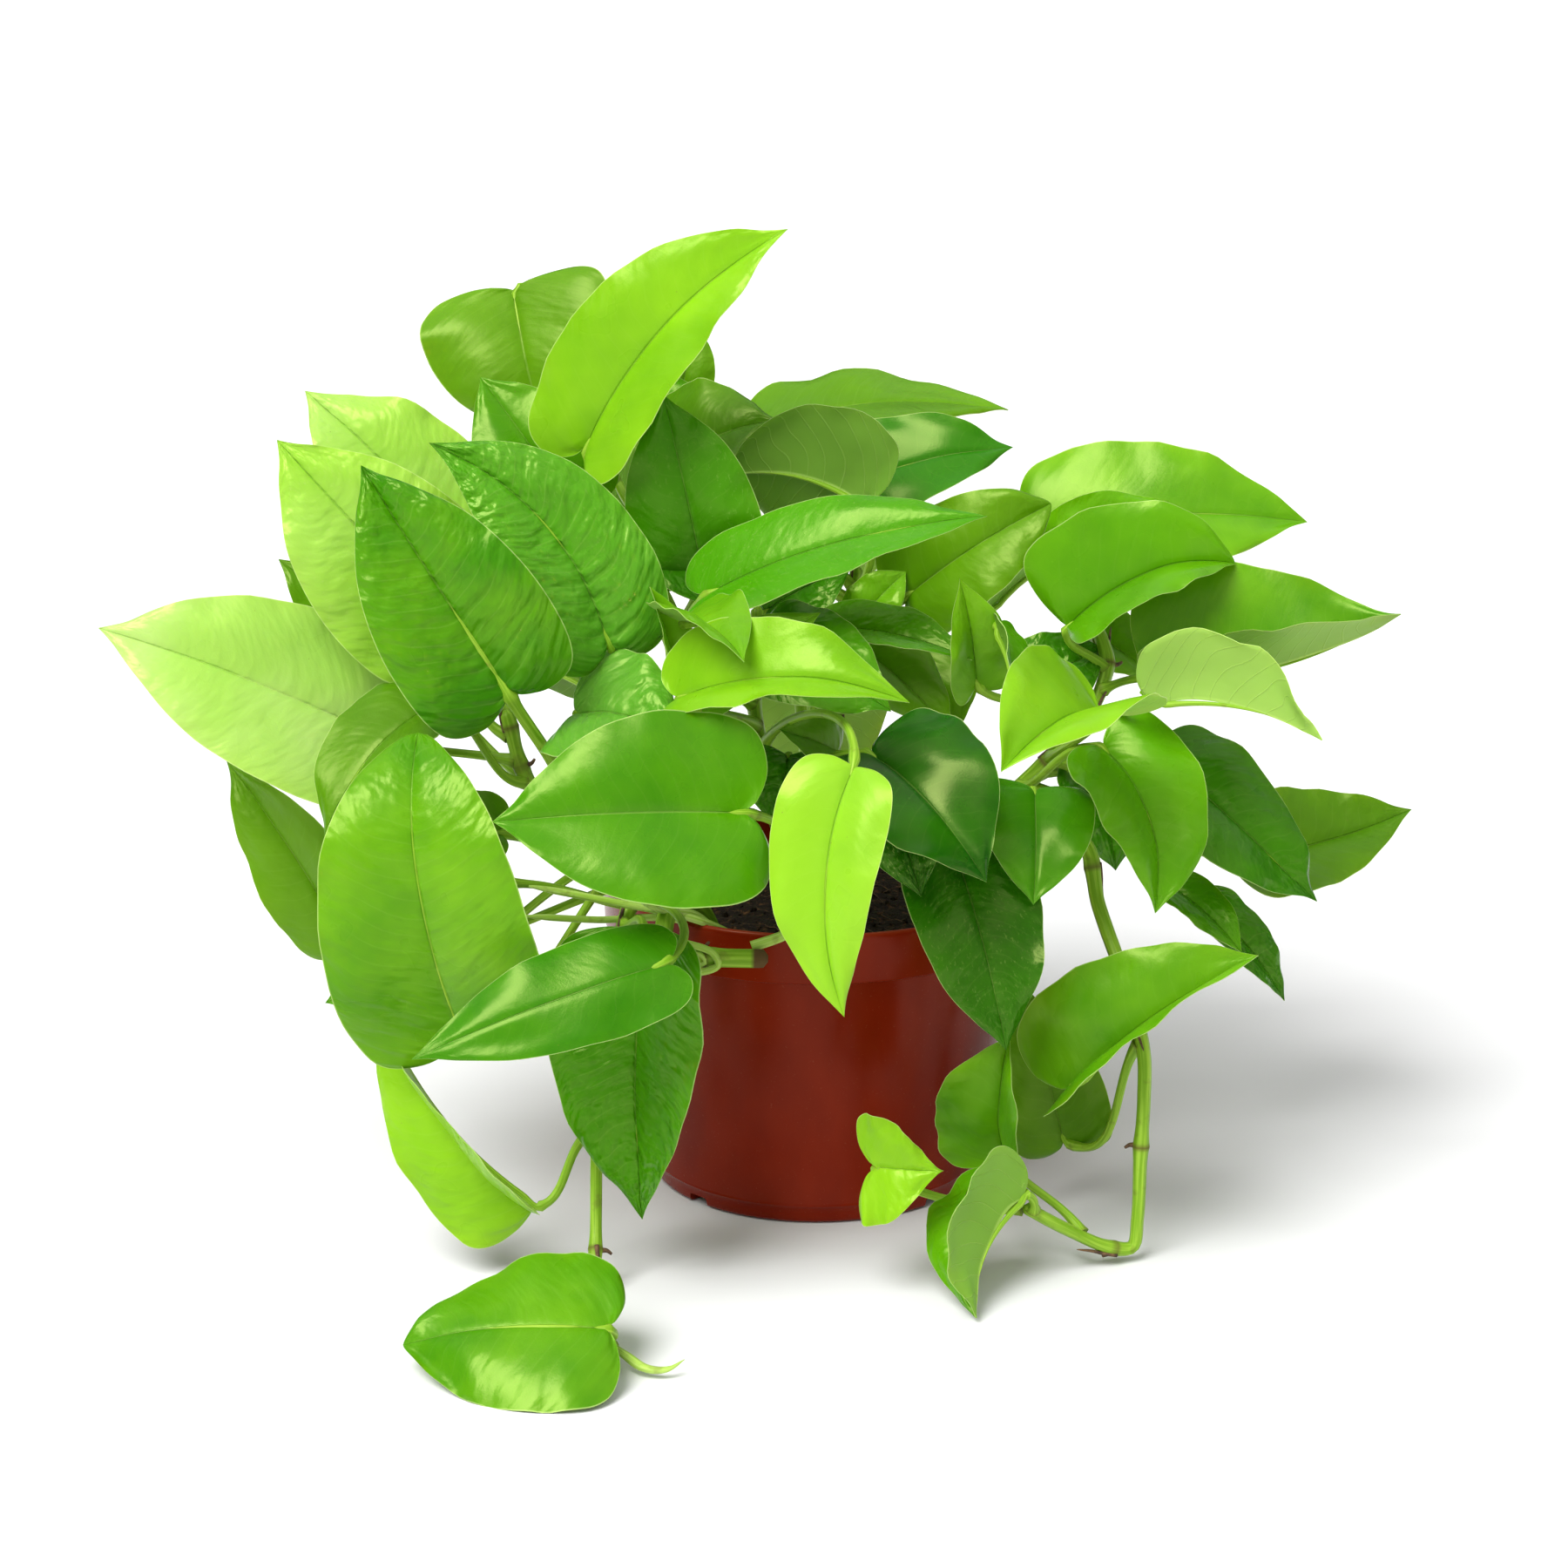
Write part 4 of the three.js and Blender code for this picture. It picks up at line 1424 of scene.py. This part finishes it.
JOINTS = {
    "left": (0.3, 0.52, 0.68, 0.84, 0.95),
    "crest": (0.2, 0.42, 0.62, 0.72, 0.88, 0.97),
    "centre": (0.3, 0.43, 0.6, 0.76),
    "upper": (0.3, 0.55, 0.76, 0.9),
    "right": (0.24, 0.45, 0.58, 0.72, 0.86),
    "back": (0.3, 0.5, 0.7, 0.86),
    "left_trailing": (0.24, 0.5, 0.74, 0.9),
    "right_trailing": (0.14, 0.33, 0.52, 0.69, 0.85),
    "cut": (0.45, 0.8),
}
STOUT = {"cut": 1.3, "right_trailing": 1.12}

SHOOTS = [
    Shoot("floor_shoot", [
        (-71, -186, 7), (-66, -190, 5), (-59, -196, 3), (-52, -197, 3.2), (-46, -194, 5.5),
    ], 2.0, rolled=True),
    Shoot("curled_stalk", [
        (-64, -78, 119), (-58, -88, 121), (-48, -94, 121), (-38, -96, 118), (-36, -96.5, 113.5),
        (-45, -96.5, 110.5), (-57, -94, 111.5),
    ], 1.5),
    Shoot("curled_stalk_short", [
        (-60, -80, 114), (-52, -91, 115), (-43, -95, 117.5), (-40.5, -95.5, 114.5), (-46, -95, 112.5),
    ], 1.2),
    Shoot("bent_stalk", [
        (-24, -86, 117), (-12, -84.5, 121), (1, -76, 127), (9, -58, 124), (11, -44, 104),
    ], 2.0),
    Shoot("upright_stalk", [(-30, -52, 102), (-44, -66, 122), (-58, -84, 131), (-66, -96, 140)], 1.7),
    Shoot("crossing_stalk", [(-20, -50, 103), (-44, -70, 122), (-74, -80, 132), (-104, -86, 140)], 1.6),
    Shoot("crossing_stalk_low", [(-28, -48, 102), (-52, -66, 121), (-80, -76, 124), (-106, -84, 128)], 1.5),
    Shoot("small_bud", [(-68, -92, 184), (-70, -96, 189), (-70.5, -97.5, 195)], 1.5, rolled=True),
]

# A tone above 1 paints a pale sheen onto a leaf, standing for a highlight.
LEAVES = [
    LeafSpec("far_left", LIME, "left", 0.86, (-160, -45, 184), (-260, -55, 228), (-0.12, -0.8, 0.6), 70,
             arch=8, fold=6, tone=1.6, quilt=1.4),
    LeafSpec("left_quilted", LIME, "left", 0.93, (-135, -42, 226), (-195, -40, 294), (-0.3, -0.8, 0.6), 66,
             arch=7, fold=8, tone=1.25, fleck=0.25, quilt=2.2),
    LeafSpec("left_bright", LIME, "left", 0.66, (-111, -85, 213), (-160, -80, 292), (-0.16, -0.85, 0.5), 62,
             arch=7, fold=12, stalk=2.3, tone=0.12, quilt=4),
    LeafSpec("left_streaked", LIME, "left", 0.98, (-136, 0, 249), (-192, 15, 303), (-0.1, -0.65, 0.7), 58,
             arch=6, fold=8, tone=1.35, fleck=0.35, quilt=2),
    LeafSpec("centre_left_dark", DEEP, "crest", 0.6, (-76, -58, 224), (-139, -52, 295), (0.02, -0.8, 0.6),
             54, arch=7, fold=10, sway=10, tone=1.05, fleck=0.1, quilt=1.3),
    LeafSpec("crest_left", OLIVE, "crest", 0.97, (-118, 75, 333), (-104, 50, 276), (-0.1, -0.95, 0.2), 76,
             arch=6, fold=6, notch=0.5, tone=0.65),
    LeafSpec("crest_tall", LIME, "crest", 0.9, (-85, -10, 287), (-11, -10, 366), (-0.45, -0.75, 0.4), 58,
             arch=6, fold=20, sway=-7, tone=0.7, quilt=0.8),
    LeafSpec("crest_mid_left", GREEN, "crest", 0.85, (-94, 22, 258), (-128, 36, 305), (-0.1, -0.8, 0.6), 50,
             arch=5, fold=8, tone=0.5, quilt=0.4),
    LeafSpec("left_curl", OLIVE, "left", 0.8, (-138, -65, 202), (-176, -92, 160), (-0.6, -0.55, 0.55), 46,
             arch=8, fold=12, tone=0.3),
    LeafSpec("front_left_big", LIME, "left", 0.44, (-127, -120, 97), (-142, -125, 208), (-0.12, -0.9, 0.35),
             76, arch=10, fold=8, sway=-3, full=1.8, curl=22, tone=0.32, quilt=2.2),
    LeafSpec("front_left_low", GREEN, "left_trailing", 0.22, (-54, -150, 132), (-139, -165, 103),
             (0, -0.8, 0.55), 38, arch=6, fold=-10, tone=0.1, quilt=0.2),
    LeafSpec("front_left_dark", DEEP, "left_trailing", 0.27, (-62, -105, 129), (-63, -124, 27),
             (-0.45, -0.85, 0.2), 66, arch=6, fold=18, notch=0.3, tone=0.9, fleck=0.05, quilt=1.1),
    LeafSpec("front_centre_broad", GREEN, "centre", 0.3, (-27, -129, 180), (-112, -137, 179),
             (0, -0.85, 0.5), 70, arch=5, fold=8, notch=1.15, tone=0.35, quilt=0.3),
    LeafSpec("front_centre_hanging", LIME, "centre", 0.62, (11, -148, 201), (8, -170, 120),
             (-0.3, -0.8, 0.5), 41, arch=8, fold=14, sway=6, notch=0.35, tone=1.05, quilt=0.5),
    LeafSpec("front_right_glossy", DEEP, "centre", 0.5, (19, -90, 190), (58, -126, 154), (0.35, -0.85, 0.4),
             60, arch=8, fold=12, tone=0, quilt=0.05),
    LeafSpec("front_right_variegated", DEEP, "centre", 0.42, (23, -82, 180), (36, -108, 143), (0, -0.8, 0.5),
             36, arch=4, fold=10, tone=0.3, fleck=0.5),
    LeafSpec("front_right_dark", DEEP, "right_trailing", 0.1, (50, -85, 150), (67, -110, 86),
             (0.2, -0.95, 0.3), 48, arch=6, fold=8, tone=0.25, fleck=0.15, quilt=0.4),
    LeafSpec("right_small_heart", GREEN, "right_trailing", 0.16, (78, -75, 172), (76, -105, 139),
             (0.1, -0.8, 0.6), 42, arch=4, fold=10, tone=0.3, quilt=0.15),
    LeafSpec("right_neon_heart", LIME, "right", 0.6, (99, -90, 205), (61, -145, 199), (0.1, -0.35, 0.95), 56,
             arch=8, fold=32, tone=0.75, quilt=0.4),
    LeafSpec("right_round", GREEN, "right", 0.5, (104, -64, 185), (121, -90, 131), (0.4, -0.85, 0.3), 48,
             arch=6, fold=18, sway=-6, tone=0.7, quilt=0.5),
    LeafSpec("right_shaded", DEEP, "right", 0.55, (131, -15, 168), (188, -35, 118), (0.3, -0.7, 0.65), 50,
             arch=7, fold=10, sway=4, tone=0.45, quilt=0.5),
    LeafSpec("far_right_low", OLIVE, "right", 0.45, (167, 25, 117), (237, 45, 131), (-0.1, -0.7, 0.7), 50,
             arch=-6, fold=16, tone=0.35),
    LeafSpec("right_low_neon", LIME, "right_trailing", 0.47, (93, -91, 65), (157, -100, 118.5),
             (-0.3, -0.45, 0.85), 62, arch=6, fold=42, tone=0.3, quilt=0.6),
    LeafSpec("right_olive_back", OLIVE, "right_trailing", 0.56, (93.5, -51, 28), (79.5, -46, 86.5),
             (-0.1, -0.95, 0.2), 41, arch=5, fold=8, tone=0.35),
    LeafSpec("low_right_folded", LIME, "right_trailing", 0.9, (67, -98, 42), (69, -98, 88),
             (-0.6, -0.7, 0.2), 46, arch=4, fold=36, tone=0.3),
    LeafSpec("low_right_young", LIME, "right_trailing", 1, (20.5, -126, 47.7), (44, -134, 49.7),
             (0.1, -0.95, 0.15), 52, arch=1, fold=10, full=0.2, notch=2.2, tone=0.8),
    LeafSpec("low_right_floor", GREEN, "right_trailing", 0.99, (73, -123, 36), (55, -153, 2),
             (-0.97, -0.16, 0.2), 54, arch=6, fold=50, tone=0.6),
    LeafSpec("floor_left", LIME, "left_trailing", 1, (-73, -198, 19), (-142, -190, 9), (0.05, -0.5, 0.85),
             64, arch=6, fold=-8, full=1.3, tone=0.25, quilt=1),
    LeafSpec("hanging_left", LIME, "left_trailing", 0.57, (-103, -116.5, 28.5), (-156, -93, 93.2),
             (-0.85, -0.55, 0.1), 58, arch=8, fold=30, notch=0.4, tone=0.85, quilt=1.8),
    LeafSpec("left_olive", OLIVE, "left", 0.3, (-178, -40, 106), (-221, -25, 170), (-0.4, -0.85, 0.2), 40,
             arch=6, fold=10, sway=5, tone=0.5),
    LeafSpec("centre_twist_dark", DEEP, "centre", 0.6, (-87, -66, 199), (-48, -90, 198.5), (0.2, -0.7, 0.7),
             52, arch=4, fold=12, tone=1.1, fleck=0.1, quilt=0.9),
    LeafSpec("centre_bright_long", LIME, "centre", 0.68, (-48, -93, 212), (31, -117, 216), (0, -0.6, 0.85),
             44, arch=12, fold=24, tone=0.75, quilt=0.6),
    LeafSpec("centre_green", GREEN, "centre", 0.76, (-22, -50, 219), (26, -75, 202), (0.1, -0.7, 0.7), 46,
             arch=6, fold=10, tone=0.35),
    LeafSpec("upper_dark", DEEP, "crest", 0.7, (-43, -15, 242), (-57, -10, 306), (0.05, -0.9, 0.45), 50,
             arch=5, fold=8, tone=0.65, fleck=0.12, quilt=0.25),
    LeafSpec("upper_long_glossy", DEEP, "crest", 0.64, (-39, -45, 239), (60, -60, 270), (0, -0.6, 0.8), 43,
             arch=8, fold=14, tone=1, fleck=0.15, quilt=0.2),
    LeafSpec("crest_olive", OLIVE, "upper", 0.9, (-63, 47, 266), (-15, 28, 290), (0.1, -0.6, 0.75), 60,
             arch=5, fold=8, tone=0.35),
    LeafSpec("upper_right_flat", OLIVE, "upper", 1, (-19, 65, 283), (76, 75, 286), (0, -0.25, 0.97), 50,
             arch=6, fold=6, tone=0.6),
    LeafSpec("upper_right_point", GREEN, "upper", 0.95, (8, 30, 263), (75, 30, 279), (0.1, -0.85, 0.8), 44,
             arch=6, fold=8, tone=0, quilt=0.1),
    LeafSpec("upper_underside", GREEN, "upper", 0.85, (17, 0, 263), (-37, 5, 272), (0, 0.9, 0.35), 64,
             arch=5, fold=6, sway=-4, tone=0.1),
    LeafSpec("right_upper_olive", OLIVE, "upper", 0.75, (35, 10, 226), (88, 5, 262), (0.2, -0.75, 0.6), 46,
             arch=6, fold=8, full=1.5, tone=0.5, quilt=0.9),
    LeafSpec("right_crest", LIME, "right", 1, (89, 40, 246), (190, 40, 248), (0, -0.7, 0.7), 62, arch=8,
             fold=8, tone=0.35, quilt=0.5),
    LeafSpec("right_broad", GREEN, "right", 0.85, (92, -30, 223), (154, -30, 250), (0.05, -0.62, 0.79), 61,
             arch=6, fold=36, sway=-4, full=1.4, notch=0.3, curl=6, tone=0.7, quilt=0.25),
    LeafSpec("far_right_folded", LIME, "right", 0.8, (123, -40, 206), (212, -45, 231), (0, -0.3, 0.95), 84,
             arch=-8, fold=50, tone=0.2, quilt=0.4),
    LeafSpec("right_pale_hanging", LIME, "right", 0.7, (121, -72, 205), (178, -92, 196), (0.1, 0.6, 0.75),
             54, arch=6, fold=34, tone=1, quilt=0.5),
    LeafSpec("back_left_high", GREEN, "crest", 1, (-75, 95, 232), (-125, 135, 290), (-0.3, 0.7, 0.6), 58,
             arch=6, fold=10),
    LeafSpec("back_centre_high", LIME, "back", 1, (5, 115, 225), (25, 150, 280), (0.1, 0.9, 0.4), 56, arch=6,
             fold=10),
    LeafSpec("back_right_wide", GREEN, "back", 0.85, (70, 95, 200), (140, 130, 228), (0.1, 0.6, 0.75), 62,
             arch=8, fold=10),
    LeafSpec("back_left_wide", DEEP, "back", 0.7, (-85, 95, 165), (-165, 125, 175), (-0.1, 0.7, 0.65), 64,
             arch=8, fold=12),
    LeafSpec("back_low", LIME, "back", 0.5, (5, 125, 175), (0, 155, 95), (0, 0.95, 0.3), 62, arch=8,
             fold=10),
]

# Smaller and hidden leaves that fill the plant out and have no solid of their own.
FILLERS = [
    LeafSpec("right_sliver_light", GREEN, "right", 0.6, (134, -30, 122), (159, -45, 101), (0.4, -0.7, 0.6),
             22, arch=3, fold=16),
    LeafSpec("right_sliver_dark", DEEP, "right", 0.5, (151, 0, 105), (182, -5, 68), (0.5, -0.7, 0.5), 24,
             arch=4, fold=18),
    LeafSpec("centre_curled", LIME, "centre", 0.8, (-48, -70, 234), (-26, -115, 230), (0.1, -0.3, 0.95), 34,
             arch=5, fold=30),
    LeafSpec("centre_pointed", LIME, "centre", 0.74, (-45, -60, 205), (1, -60, 235), (0.2, -0.8, 0.5), 28,
             arch=4, fold=16),
    LeafSpec("crest_green", GREEN, "crest", 0.98, (-46, 60, 263), (-65, 70, 303), (0.1, -0.85, 0.5), 38,
             arch=4, fold=8, quilt=0.3),
    LeafSpec("crest_pale", OLIVE, "crest", 0.99, (-53, 85, 290), (-48, 95, 317), (0.1, -0.8, 0.5), 24,
             arch=3, fold=10),
    LeafSpec("upper_dark_under", DEEP, "crest", 0.66, (-66, 5, 255), (-36, -25, 227), (0.3, -0.8, 0.4), 40,
             arch=4, fold=10),
    LeafSpec("right_crest_under", GREEN, "right", 0.93, (92, 15, 232), (134, 20, 260), (0.1, -0.8, 0.5), 42,
             arch=5, fold=8, tone=1),
    LeafSpec("right_young", LIME, "right", 0.7, (58, -45, 205), (51, -55, 246), (0.3, -0.85, 0.2), 28,
             arch=3, fold=25),
    LeafSpec("right_edge_on", GREEN, "right", 0.62, (65, -60, 229), (67, -75, 197), (0.9, -0.3, 0.3), 26,
             arch=4, fold=14),
    LeafSpec("right_inner", DEEP, "right", 0.66, (75, -25, 195), (108, -15, 211), (0.1, -0.7, 0.6), 34,
             arch=4, fold=10),
    LeafSpec("right_back_grey", OLIVE, "right", 0.9, (102, 25, 209), (130, 15, 191), (0.3, -0.7, 0.6), 30,
             arch=4, fold=12),
    LeafSpec("inner_thin", GREEN, "upper", 0.7, (4, -30, 222), (56, -55, 216), (0, -0.5, 0.85), 26, arch=5,
             fold=18),
    LeafSpec("inner_olive", OLIVE, "upper", 0.66, (9, -15, 216), (50, -40, 185), (0.1, -0.7, 0.6), 36,
             arch=5, fold=10),
    LeafSpec("inner_olive_right", OLIVE, "upper", 0.6, (40, 0, 205), (53, -15, 178), (0.2, -0.8, 0.5), 32,
             arch=4, fold=10),
    LeafSpec("inner_yellow", LIME, "upper", 0.72, (17, 5, 218), (34, 10, 235), (0, -0.8, 0.6), 22, arch=2,
             fold=12),
    LeafSpec("inner_dark", DEEP, "upper", 0.74, (-19, 5, 221), (13, 5, 237), (0.1, -0.8, 0.6), 34, arch=4,
             fold=10),
    LeafSpec("left_under", OLIVE, "left", 0.8, (-143, -20, 195), (-200, -15, 245), (-0.1, -0.8, 0.6), 44,
             arch=5, fold=8),
    LeafSpec("left_peek", GREEN, "left", 0.46, (-153, -40, 87), (-184, -50, 83), (-0.2, -0.8, 0.6), 24,
             arch=3, fold=12),
    LeafSpec("right_under_dark", DEEP, "right", 0.52, (103, -15, 165), (113, -25, 127), (0.3, -0.85, 0.3),
             34, arch=4, fold=12),
    LeafSpec("inner_low_dark", DEEP, "centre", 0.36, (-11, -60, 181), (-15, -80, 160), (0, -0.8, 0.5), 34,
             arch=3, fold=10),
    LeafSpec("inner_low_olive", OLIVE, "centre", 0.5, (7, -55, 182), (-14, -70, 194), (0, -0.8, 0.6), 24,
             arch=2, fold=12),
    LeafSpec("centre_rolled", LIME, "centre", 0.82, (-52, -62, 212), (-60, -68, 246), (0.6, -0.7, 0.2), 20.6,
             arch=2, fold=47, tone=0.6, quilt=0.2),
    LeafSpec("left_low", GREEN, "left", 0.16, (-116, -70, 136), (-160, -66, 120), (-0.1, -0.7, 0.7), 34,
             arch=4, fold=14, tone=0.3),
    LeafSpec("left_low_behind", OLIVE, "left", 0.24, (-118, -52, 150), (-165, -44, 140), (-0.2, -0.6, 0.7),
             34, arch=4, fold=14, tone=0.3),
]


class Studio:
    """A pale floor and backdrop, soft even light, and the camera."""

    FLOOR_COLOUR = (0.84, 0.84, 0.84)
    FLOOR_SIZE, FLOOR_DROP = 30000, 0.4
    WORLD_COLOUR, WORLD_STRENGTH = (1.0, 1.0, 1.0, 1.0), 0.12
    LIGHTS = (
        ("key", (-0.5, -0.6, 1.05), 36, 1.15),
        ("top", (0.1, -0.05, 1.0), 110, 0.42),
        ("front", (-0.3, -0.9, 0.4), 70, 0.16),
        ("fill", (1.0, -0.8, 0.35), 60, 0.08),
    )
    LENS, SENSOR = 78, 36
    CAMERA_PLACE, CAMERA_DIP = (-0.0123, -1.2518, 0.5047), 15.65

    def _finish(self, name: str, colour: Triple) -> bpy.types.Material:
        """A matt finish with a little tone variation.

        Args:
            name: the material's name.
            colour: its colour.

        Returns:
            The material.
        """
        graph = Graph(name)
        tone = graph.noise(graph.place(), 3.0, 2.0)
        duller = tuple(0.96 * c for c in colour)
        return graph.finish({"Base Color": graph.mix(tone * 0.02, colour, duller), "Roughness": 0.9})

    def _sheet(self) -> bpy.types.Object:
        """The floor, a plain sheet under everything.

        Returns:
            The floor's object.
        """
        bm = bmesh.new()
        bmesh.ops.create_grid(bm, x_segments=8, y_segments=8, size=self.FLOOR_SIZE)
        bmesh.ops.translate(bm, vec=(0, 0, -self.FLOOR_DROP), verts=bm.verts)
        return finished("floor", bm, [self._finish("studio_floor", self.FLOOR_COLOUR)])

    def _light(self, name: str, towards: Triple, softness: float, strength: float) -> None:
        """Adds a distant soft light.

        Args:
            name: its name.
            towards: the way from the plant to the light.
            softness: the angle that it fills, in degrees.
            strength: its strength, where 1 turns a white floor under it white.
        """
        data = bpy.data.lights.new(name, "SUN")
        data.angle, data.energy = math.radians(softness), strength * math.pi
        lamp = bpy.data.objects.new(name, data)
        lamp.rotation_euler = Vector(towards).to_track_quat("Z", "Y").to_euler()
        bpy.context.scene.collection.objects.link(lamp)

    def build(self) -> None:
        """Builds the studio."""
        self._sheet()
        scene = bpy.context.scene
        world = bpy.data.worlds.new("studio")
        world.use_nodes = True
        back = world.node_tree.nodes.get("Background")
        back.inputs["Color"].default_value = self.WORLD_COLOUR
        back.inputs["Strength"].default_value = self.WORLD_STRENGTH
        scene.world = world
        scene.view_settings.view_transform = "Standard"
        for light in self.LIGHTS:
            self._light(*light)
        data = bpy.data.cameras.new("camera")
        data.lens, data.sensor_width = self.LENS, self.SENSOR
        camera = bpy.data.objects.new("camera", data)
        camera.location = self.CAMERA_PLACE
        camera.rotation_euler = (math.radians(90 - self.CAMERA_DIP), 0, 0)
        scene.collection.objects.link(camera)
        scene.camera = camera


def main() -> None:
    """Builds the potted plant piece by piece."""
    logging.basicConfig(level=logging.INFO, format="%(name)s %(message)s")
    finishes = {"stem": StemFinish().material(), "dry_bark": BarkFinish().material(),
                "pot": PotFinish().material(), "soil": SoilFinish().material(),
                "shoot": StemFinish("shoot", (0.34, 0.56, 0.06), (0.52, 0.70, 0.18)).material()}
    for kind in LeafKind:
        finishes[f"{kind.value.name}_upper"] = kind.value.upper_material()
        finishes[f"{kind.value.name}_under"] = kind.value.under_material()
    Pot().build(finishes)
    Soil().build(finishes)
    courses = {name: Course(points) for name, points in VINES.items()}
    for k, (name, course) in enumerate(courses.items()):
        Vine(name, course, JOINTS[name], STOUT.get(name, 1.0), k + FIRST_SEED).build(finishes)
    for k, spec in enumerate(LEAVES + FILLERS):
        leaf = Leaf(spec, courses[spec.vine], FIRST_SEED + LEAF_SEED_STEP * k)
        leaf.build(finishes, solid=k < len(LEAVES))
    for shoot in SHOOTS:
        shoot.build(finishes)
    Studio().build()


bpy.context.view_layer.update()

if __name__ == "__main__":
    main()
